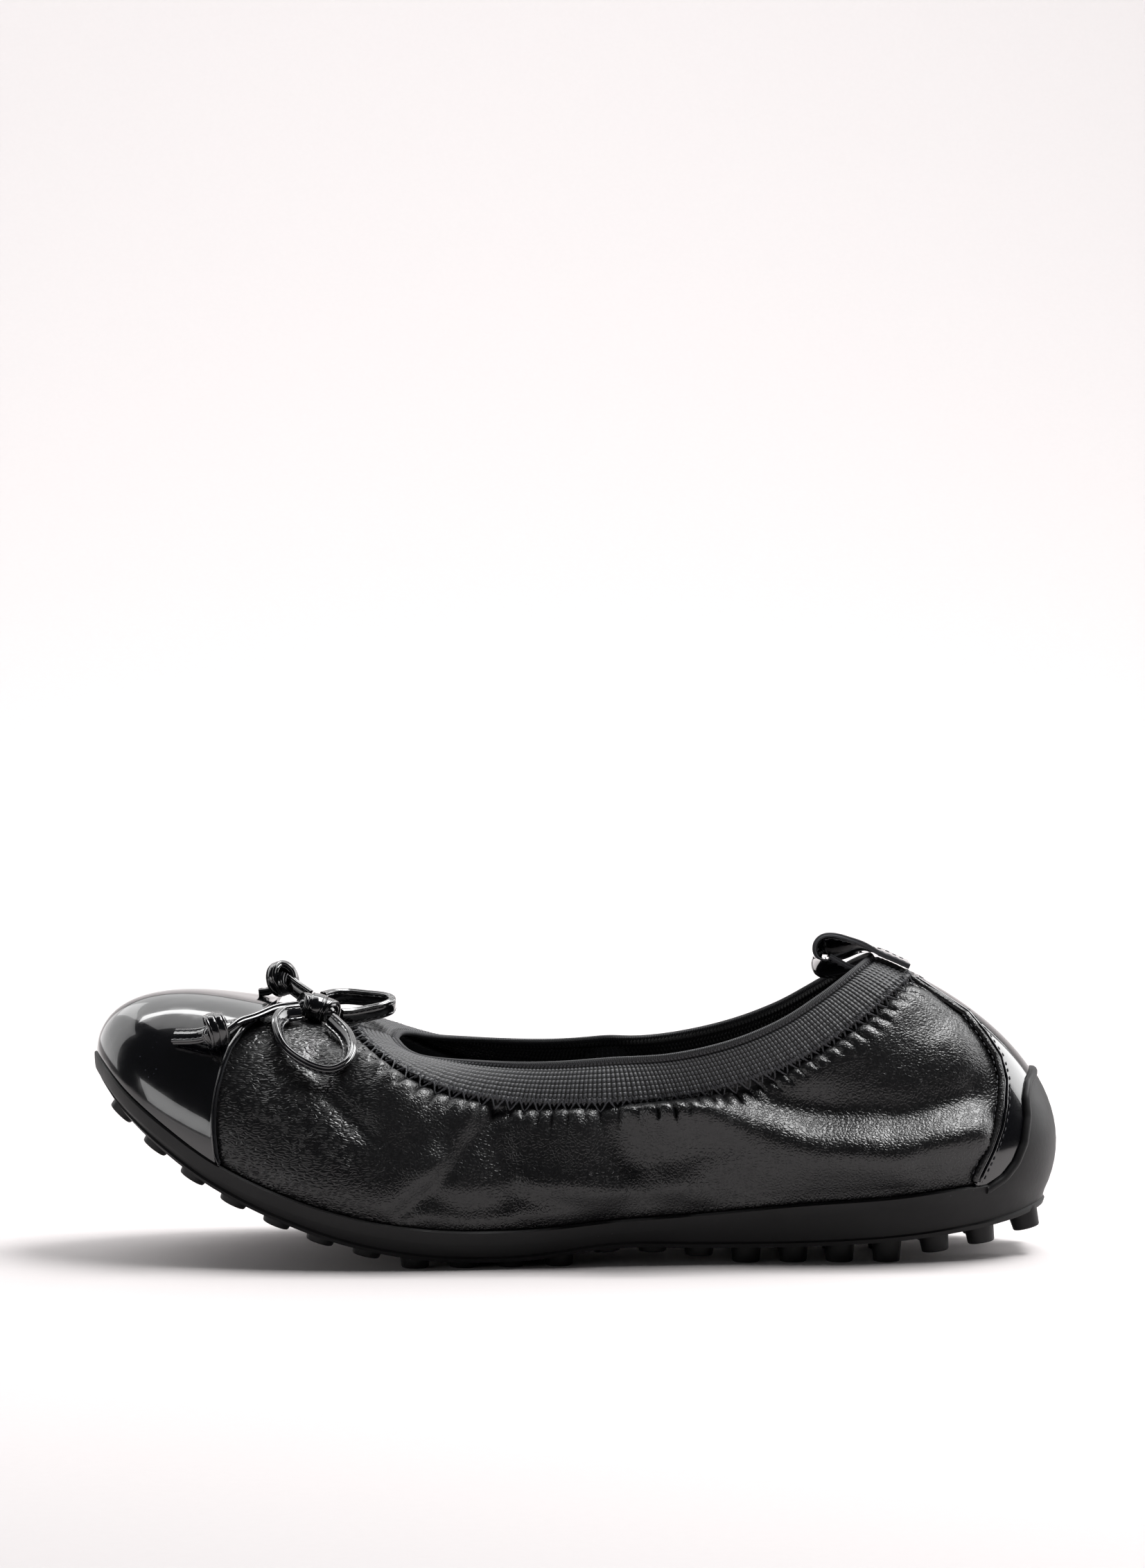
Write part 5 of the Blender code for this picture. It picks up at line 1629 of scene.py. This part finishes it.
class BALLET_FLAT_OT_bow(bpy.types.Operator):
    """Make the bow: wrapped knot, two loops and two knotted tails with their stitching"""

    bl_idname = "ballet_flat.bow"
    bl_label = "Bow"

    def execute(self, context):
        threads = new_sheet()
        self.near_loop(threads)
        self.far_loop(threads)
        self.near_tail(threads)
        self.far_tail(threads)
        self.knot()
        add_swept("bow_stitches", threads, [thread()])
        return {"FINISHED"}

    @classmethod
    def add_strap(cls, threads, name, node, route, sides, knot=None):
        """One strap of the bow with its stitches, and its overhand knot if it is a tail."""
        sheet = new_sheet()
        strap(sheet, route, sides, STRAP_WIDTH, STRAP_THICKNESS)
        if knot:
            cls.overhand(sheet, *knot)
        add_swept(name, sheet, [patent()], [node])
        strap_stitches(threads, route, sides, STRAP_WIDTH, STRAP_THICKNESS)

    @staticmethod
    def overhand(sheet, centre, axis, start):
        """A tail's overhand knot: the strap wound round itself, once along the tail and once across it."""
        reach = 1.12 * (TAIL_KNOT_RADIUS + 0.3 * TAIL_KNOT_CORD)
        wrap(sheet, centre, axis, (reach, reach), 0.0030, STRAP_THICKNESS, 1.9, start, 0.0032)
        slant = (axis * 0.55 + axis.cross(Vector((0.0, 0.0, 1.0))).normalized()).normalized()
        radii = (0.9 * reach, 0.95 * reach)
        wrap(sheet, centre, slant, radii, 0.0026, 0.9 * STRAP_THICKNESS, 0.9, start + 2.0, 0.0008)

    @classmethod
    def near_loop(cls, threads):
        """The loop on the camera's side, on edge on the vamp and flared so that its inner face shows."""
        offset = LEATHER + 2.0 * CLEARANCE + 0.5 * STRAP_WIDTH
        points = lying_route(NEAR_LOOP, LOOP_LENGTH, offset)
        route = smooth_route([point for point, out in points], ROUTE_SPLIT)
        middle = sum((point for point, out in points), Vector()) / len(points)
        turned = Vector((0.0, 0.0, NEAR_LOOP_TURN_UP))
        flared = [out + (point - middle).normalized() * NEAR_LOOP_FLARE + turned for point, out in points]
        cls.add_strap(threads, "near_loop", "bow_loop_near", route, smooth_route(flared, ROUTE_SPLIT))

    @classmethod
    def far_loop(cls, threads):
        """The loop that stands up towards the opening."""
        middle = bow_middle()[0]
        route = smooth_route([middle + Vector(row) * LOOP_LENGTH for row in FAR_LOOP], ROUTE_SPLIT)
        cls.add_strap(threads, "far_loop", "bow_loop_far", route, [Vector(FAR_LOOP_LEAN)] * len(route))

    @classmethod
    def near_tail(cls, threads):
        """The tail that lies over the toe cap, on edge as far as its knot and flat after it."""
        offset = LEATHER + OVERLAY + 2.5 * CLEARANCE + 0.5 * STRAP_THICKNESS
        points = lying_route(NEAR_TAIL, TAIL_LENGTH, offset)
        centres = [point for point, out in points]
        knot = TAIL_KNOT_POINT["near"]
        lift = points[knot][1] * (TAIL_KNOT_RADIUS + TAIL_KNOT_CORD - 0.5 * STRAP_THICKNESS)
        for index, share in ((knot - 1, 0.5), (knot, 1.0), (knot + 1, 0.5)):
            centres[index] = centres[index] + lift * share
        route = smooth_route(centres, ROUTE_SPLIT)
        spot = ROUTE_SPLIT * knot
        sides = []
        for index, out in enumerate(smooth_route([out for point, out in points], ROUTE_SPLIT)):
            twist = NEAR_TAIL_TWIST * (1.0 - smooth_step(index, spot - 12.0, spot - 2.0))
            sides.append((out.cross(heading(route, index)).normalized() + out * twist).normalized())
        axis = (centres[knot + 1] - centres[knot - 1]).normalized()
        cls.add_strap(threads, "near_tail", "bow_tail_near", route, sides, (centres[knot], axis, 0.8))

    @classmethod
    def far_tail(cls, threads):
        """The tail that stands up behind the knot and hangs down from its own."""
        middle = bow_middle()[0]
        points = [middle + Vector(row) * TAIL_LENGTH for row in FAR_TAIL]
        route = smooth_route(points, ROUTE_SPLIT)
        sides = smooth_route([Vector(row) for row in FAR_TAIL_LEAN], ROUTE_SPLIT)
        knot = TAIL_KNOT_POINT["far"]
        axis = (points[knot + 1] - points[knot - 1]).normalized()
        cls.add_strap(threads, "far_tail", "bow_tail_far", route, sides, (points[knot], axis, 2.6))

    @staticmethod
    def knot():
        """The knot in the middle: a core with the strap wound over it upright and slanted to both sides."""
        middle, out = bow_middle()
        size = Vector((BOW_KNOT_LENGTH, BOW_KNOT_WIDTH, BOW_KNOT_HEIGHT)) * 0.42
        turn = Vector((0.0, 0.0, 1.0)).rotation_difference(out)
        sheet = new_sheet()
        bmesh.ops.create_uvsphere(sheet, u_segments=40, v_segments=24, radius=1.0, calc_uvs=True)
        bmesh.ops.scale(sheet, vec=size, verts=sheet.verts)
        bmesh.ops.rotate(sheet, verts=sheet.verts, cent=(0, 0, 0), matrix=turn.to_matrix())
        bmesh.ops.translate(sheet, verts=sheet.verts, vec=middle)
        along = turn @ Vector((1.0, 0.0, 0.0))
        across = turn @ Vector((0.0, 1.0, 0.0))
        wide = 0.5 * BOW_KNOT_WIDTH - 0.0004
        tall = 0.5 * BOW_KNOT_HEIGHT - 0.0002
        for shift, lean, width, reach in BOW_WRAPS:
            centre = middle + along * shift * (0.5 * BOW_KNOT_LENGTH)
            radii = (wide * reach, tall * reach)
            wrap(sheet, centre, along + across * lean, radii, width, STRAP_THICKNESS, *BOW_WRAP_TURNS)
        add_swept("bow_wrap", sheet, [patent()], ["bow_knot"])


class BALLET_FLAT_OT_pull_tab(bpy.types.Operator):
    """Make the folded pull tab at the heel with its matt edges and stitching"""

    bl_idname = "ballet_flat.pull_tab"
    bl_label = "Pull tab"

    def execute(self, context):
        route, sides = self.route()
        sheet = new_sheet()
        strap(sheet, route, sides, PULL_TAB_WIDTH, PULL_TAB_THICKNESS, PULL_TAB_CHANNEL, 1)
        add_swept("pull_loop", sheet, [patent(), raw_edge()], ["pull_tab"])
        threads = new_sheet()
        strap_stitches(
            threads, route, sides, PULL_TAB_WIDTH, PULL_TAB_THICKNESS, PULL_TAB_CHANNEL, PULL_TAB_PITCH,
        )
        add_swept("pull_loop_stitches", threads, [thread()])
        return {"FINISHED"}

    @staticmethod
    def route():
        """The tab's line over the collar, round its fold and down inside, with its twist."""
        lie = LEATHER + OVERLAY + 3.5 * CLEARANCE + 0.5 * PULL_TAB_THICKNESS
        under = -CLEARANCE - 0.5 * PULL_TAB_THICKNESS - PULL_TAB_SAG
        over = [layer_point(0.0, wall_share(0.0, -BAND_WIDTH * share), lie) for share in PULL_TAB_OVER]
        inside = [layer_point(0.0, wall_share(0.0, -BAND_WIDTH * share), under) for share in PULL_TAB_UNDER]
        lead = over[-1]
        fold = PULL_TAB_FOLD
        level = lead.z + 4.0 * CLEARANCE
        upper_run = [Vector((lead.x - PULL_TAB_LENGTH * share, 0.0, level)) for share in PULL_TAB_RUN]
        low = level - 2.0 * fold - PULL_TAB_DROOP
        lower_run = [Vector((point.x, 0.0, low)) for point in reversed(upper_run)]
        turn = []
        for step in range(5):
            angle = math.radians(90.0) + math.pi * step / 4
            x = lead.x - PULL_TAB_LENGTH + fold * (1.0 + math.cos(angle))
            turn.append(Vector((x, 0.0, level - fold * (1.0 - math.sin(angle)))))
        route = smooth_route(over + upper_run + turn + lower_run + inside, ROUTE_SPLIT)
        twists = smooth_route([Vector((share, 0.0, 0.0)) for share in PULL_TAB_TURNS], ROUTE_SPLIT)
        sides = []
        for twist in twists:
            angle = math.radians(PULL_TAB_TWIST) * twist.x
            sides.append(Vector((0.0, math.cos(angle), -math.sin(angle))))
        return route, sides


class BALLET_FLAT_OT_stage(bpy.types.Operator):
    """Make the floor, the soft lights and the camera"""

    bl_idname = "ballet_flat.stage"
    bl_label = "Stage"

    def execute(self, context):
        studio = context.scene.ballet_flat_studio
        self.floor(studio)
        self.lights(studio)
        self.camera(studio)
        context.scene.view_settings.view_transform = "Standard"
        return {"FINISHED"}

    @staticmethod
    def floor(studio):
        """A pale floor that sweeps up behind the shoe."""
        sheet = bmesh.new()
        bmesh.ops.create_grid(sheet, x_segments=2, y_segments=60, size=3.0)
        bend_start = 1.2
        quarter = 0.5 * math.pi
        for vert in sheet.verts:
            back = vert.co.y - bend_start
            if back > 0.0:
                angle = min(back, quarter)
                vert.co.y = bend_start + math.sin(angle)
                vert.co.z = 1.0 - math.cos(angle) + max(back - quarter, 0.0)
            vert.co.x *= 2.0
        mesh = bpy.data.meshes.new("floor")
        sheet.to_mesh(mesh)
        sheet.free()
        made, tree, shader = start_material("pale floor")
        paper = noise_field(tree, object_place(tree), 400.0, 2.0)
        tint(tree, shader, studio.floor, ramp(tree, paper, 0.3, 0.7), 1.01)
        shader.inputs["Roughness"].default_value = 0.65
        mesh.materials.append(made)
        mesh.shade_smooth()
        floor = bpy.data.objects.new("floor", mesh)
        bpy.context.scene.collection.objects.link(floor)

    @staticmethod
    def lights(studio):
        """A soft box above the shoe, pale panels behind it and at both ends, a low window and a dim room."""
        world = bpy.data.worlds.new("studio")
        world.use_nodes = True
        background = world.node_tree.nodes["Background"]
        background.inputs["Color"].default_value = (0.90, 0.95, 1.0, 1.0)
        background.inputs["Strength"].default_value = studio.ambient
        bpy.context.scene.world = world
        lamps = (
            ("key", (0.42, 0.10, 1.03), (0.0, 0.0, 0.03), 0.66, 0.42, studio.key),
            ("ceiling", (-0.10, 1.25, 2.00), (0.0, 0.0, 0.03), 3.20, 2.40, studio.ceiling),
            ("toe_panel", (-1.10, 0.75, 0.62), (-0.08, 0.0, 0.03), 1.10, 1.10, studio.panel),
            ("heel_panel", (1.15, 0.55, 0.60), (0.08, 0.0, 0.03), 0.90, 1.00, studio.heel_panel),
            ("window", (-1.00, -0.58, 0.17), (-0.09, -0.02, 0.03), 0.80, 0.26, studio.window),
            ("backdrop", (0.0, 0.75, 1.75), (0.0, 2.2, 0.25), 2.60, 0.50, studio.backdrop),
        )
        for name, place, target, width, height, power in lamps:
            light = bpy.data.lights.new(name, "AREA")
            light.shape = "RECTANGLE"
            light.size = width
            light.size_y = height
            light.energy = power
            lamp = bpy.data.objects.new(name, light)
            lamp.location = place
            lamp.rotation_euler = (Vector(target) - Vector(place)).to_track_quat("-Z", "Y").to_euler()
            bpy.context.scene.collection.objects.link(lamp)

    @staticmethod
    def camera(studio):
        """The photograph's view: level with the shoe's outer side and a little above it."""
        target = Vector((0.0, 0.0, 0.0366))
        below_centre = 458.8
        photo_height = 2263.0
        pixels_per_metre = 5810.0
        rise = studio.elevation
        back = Vector((0.0, -math.cos(rise), math.sin(rise)))
        focal_pixels = pixels_per_metre * studio.distance
        drop = math.atan(below_centre / focal_pixels)
        lens = bpy.data.cameras.new("camera")
        lens.sensor_width = 36.0
        lens.lens = lens.sensor_width * focal_pixels * math.cos(drop) / photo_height
        lens.clip_start = 0.05
        lens.clip_end = 30.0
        camera = bpy.data.objects.new("camera", lens)
        camera.location = target + back * studio.distance
        camera.rotation_euler = (math.radians(90.0) - (rise - drop), 0.0, 0.0)
        bpy.context.scene.collection.objects.link(camera)
        bpy.context.scene.camera = camera


class BALLET_FLAT_PT_panel(bpy.types.Panel):
    """Sizes, colours and pieces of the ballet flat"""

    bl_idname = "BALLET_FLAT_PT_panel"
    bl_label = "Ballet flat"
    bl_space_type = "VIEW_3D"
    bl_region_type = "UI"
    bl_category = "Ballet flat"

    def draw(self, context):
        column = self.layout.column()
        for group in (getattr(context.scene, name) for name in GROUP_NAMES):
            for name in group.bl_rna.properties.keys():
                if name not in ("rna_type", "name"):
                    column.prop(group, name)
        for operator in OPERATORS:
            column.operator(operator.bl_idname)


OPERATORS = (
    BALLET_FLAT_OT_stage, BALLET_FLAT_OT_upper, BALLET_FLAT_OT_toe_cap, BALLET_FLAT_OT_back_strip,
    BALLET_FLAT_OT_collar, BALLET_FLAT_OT_sole, BALLET_FLAT_OT_sock, BALLET_FLAT_OT_bow,
    BALLET_FLAT_OT_pull_tab,
)
GROUPS = (BalletFlatFinish, BalletFlatDetail, BalletFlatStudio)
GROUP_NAMES = ("ballet_flat_finish", "ballet_flat_detail", "ballet_flat_studio")
CLASSES = GROUPS + OPERATORS + (BALLET_FLAT_PT_panel,)


def register():
    """Register the classes, and give the scene its three groups of properties."""
    for item in CLASSES:
        bpy.utils.register_class(item)
    for name, group in zip(GROUP_NAMES, GROUPS):
        setattr(bpy.types.Scene, name, bpy.props.PointerProperty(type=group))


def unregister():
    """Undo what register did."""
    for name in reversed(GROUP_NAMES):
        delattr(bpy.types.Scene, name)
    for item in reversed(CLASSES):
        bpy.utils.unregister_class(item)


def main():
    """Make the whole shoe and its stage."""
    register()
    bpy.ops.ballet_flat.stage()
    bpy.ops.ballet_flat.upper()
    bpy.ops.ballet_flat.toe_cap()
    bpy.ops.ballet_flat.back_strip()
    bpy.ops.ballet_flat.collar()
    bpy.ops.ballet_flat.sole()
    bpy.ops.ballet_flat.sock()
    bpy.ops.ballet_flat.bow()
    bpy.ops.ballet_flat.pull_tab()


if __name__ == "__main__":
    main()
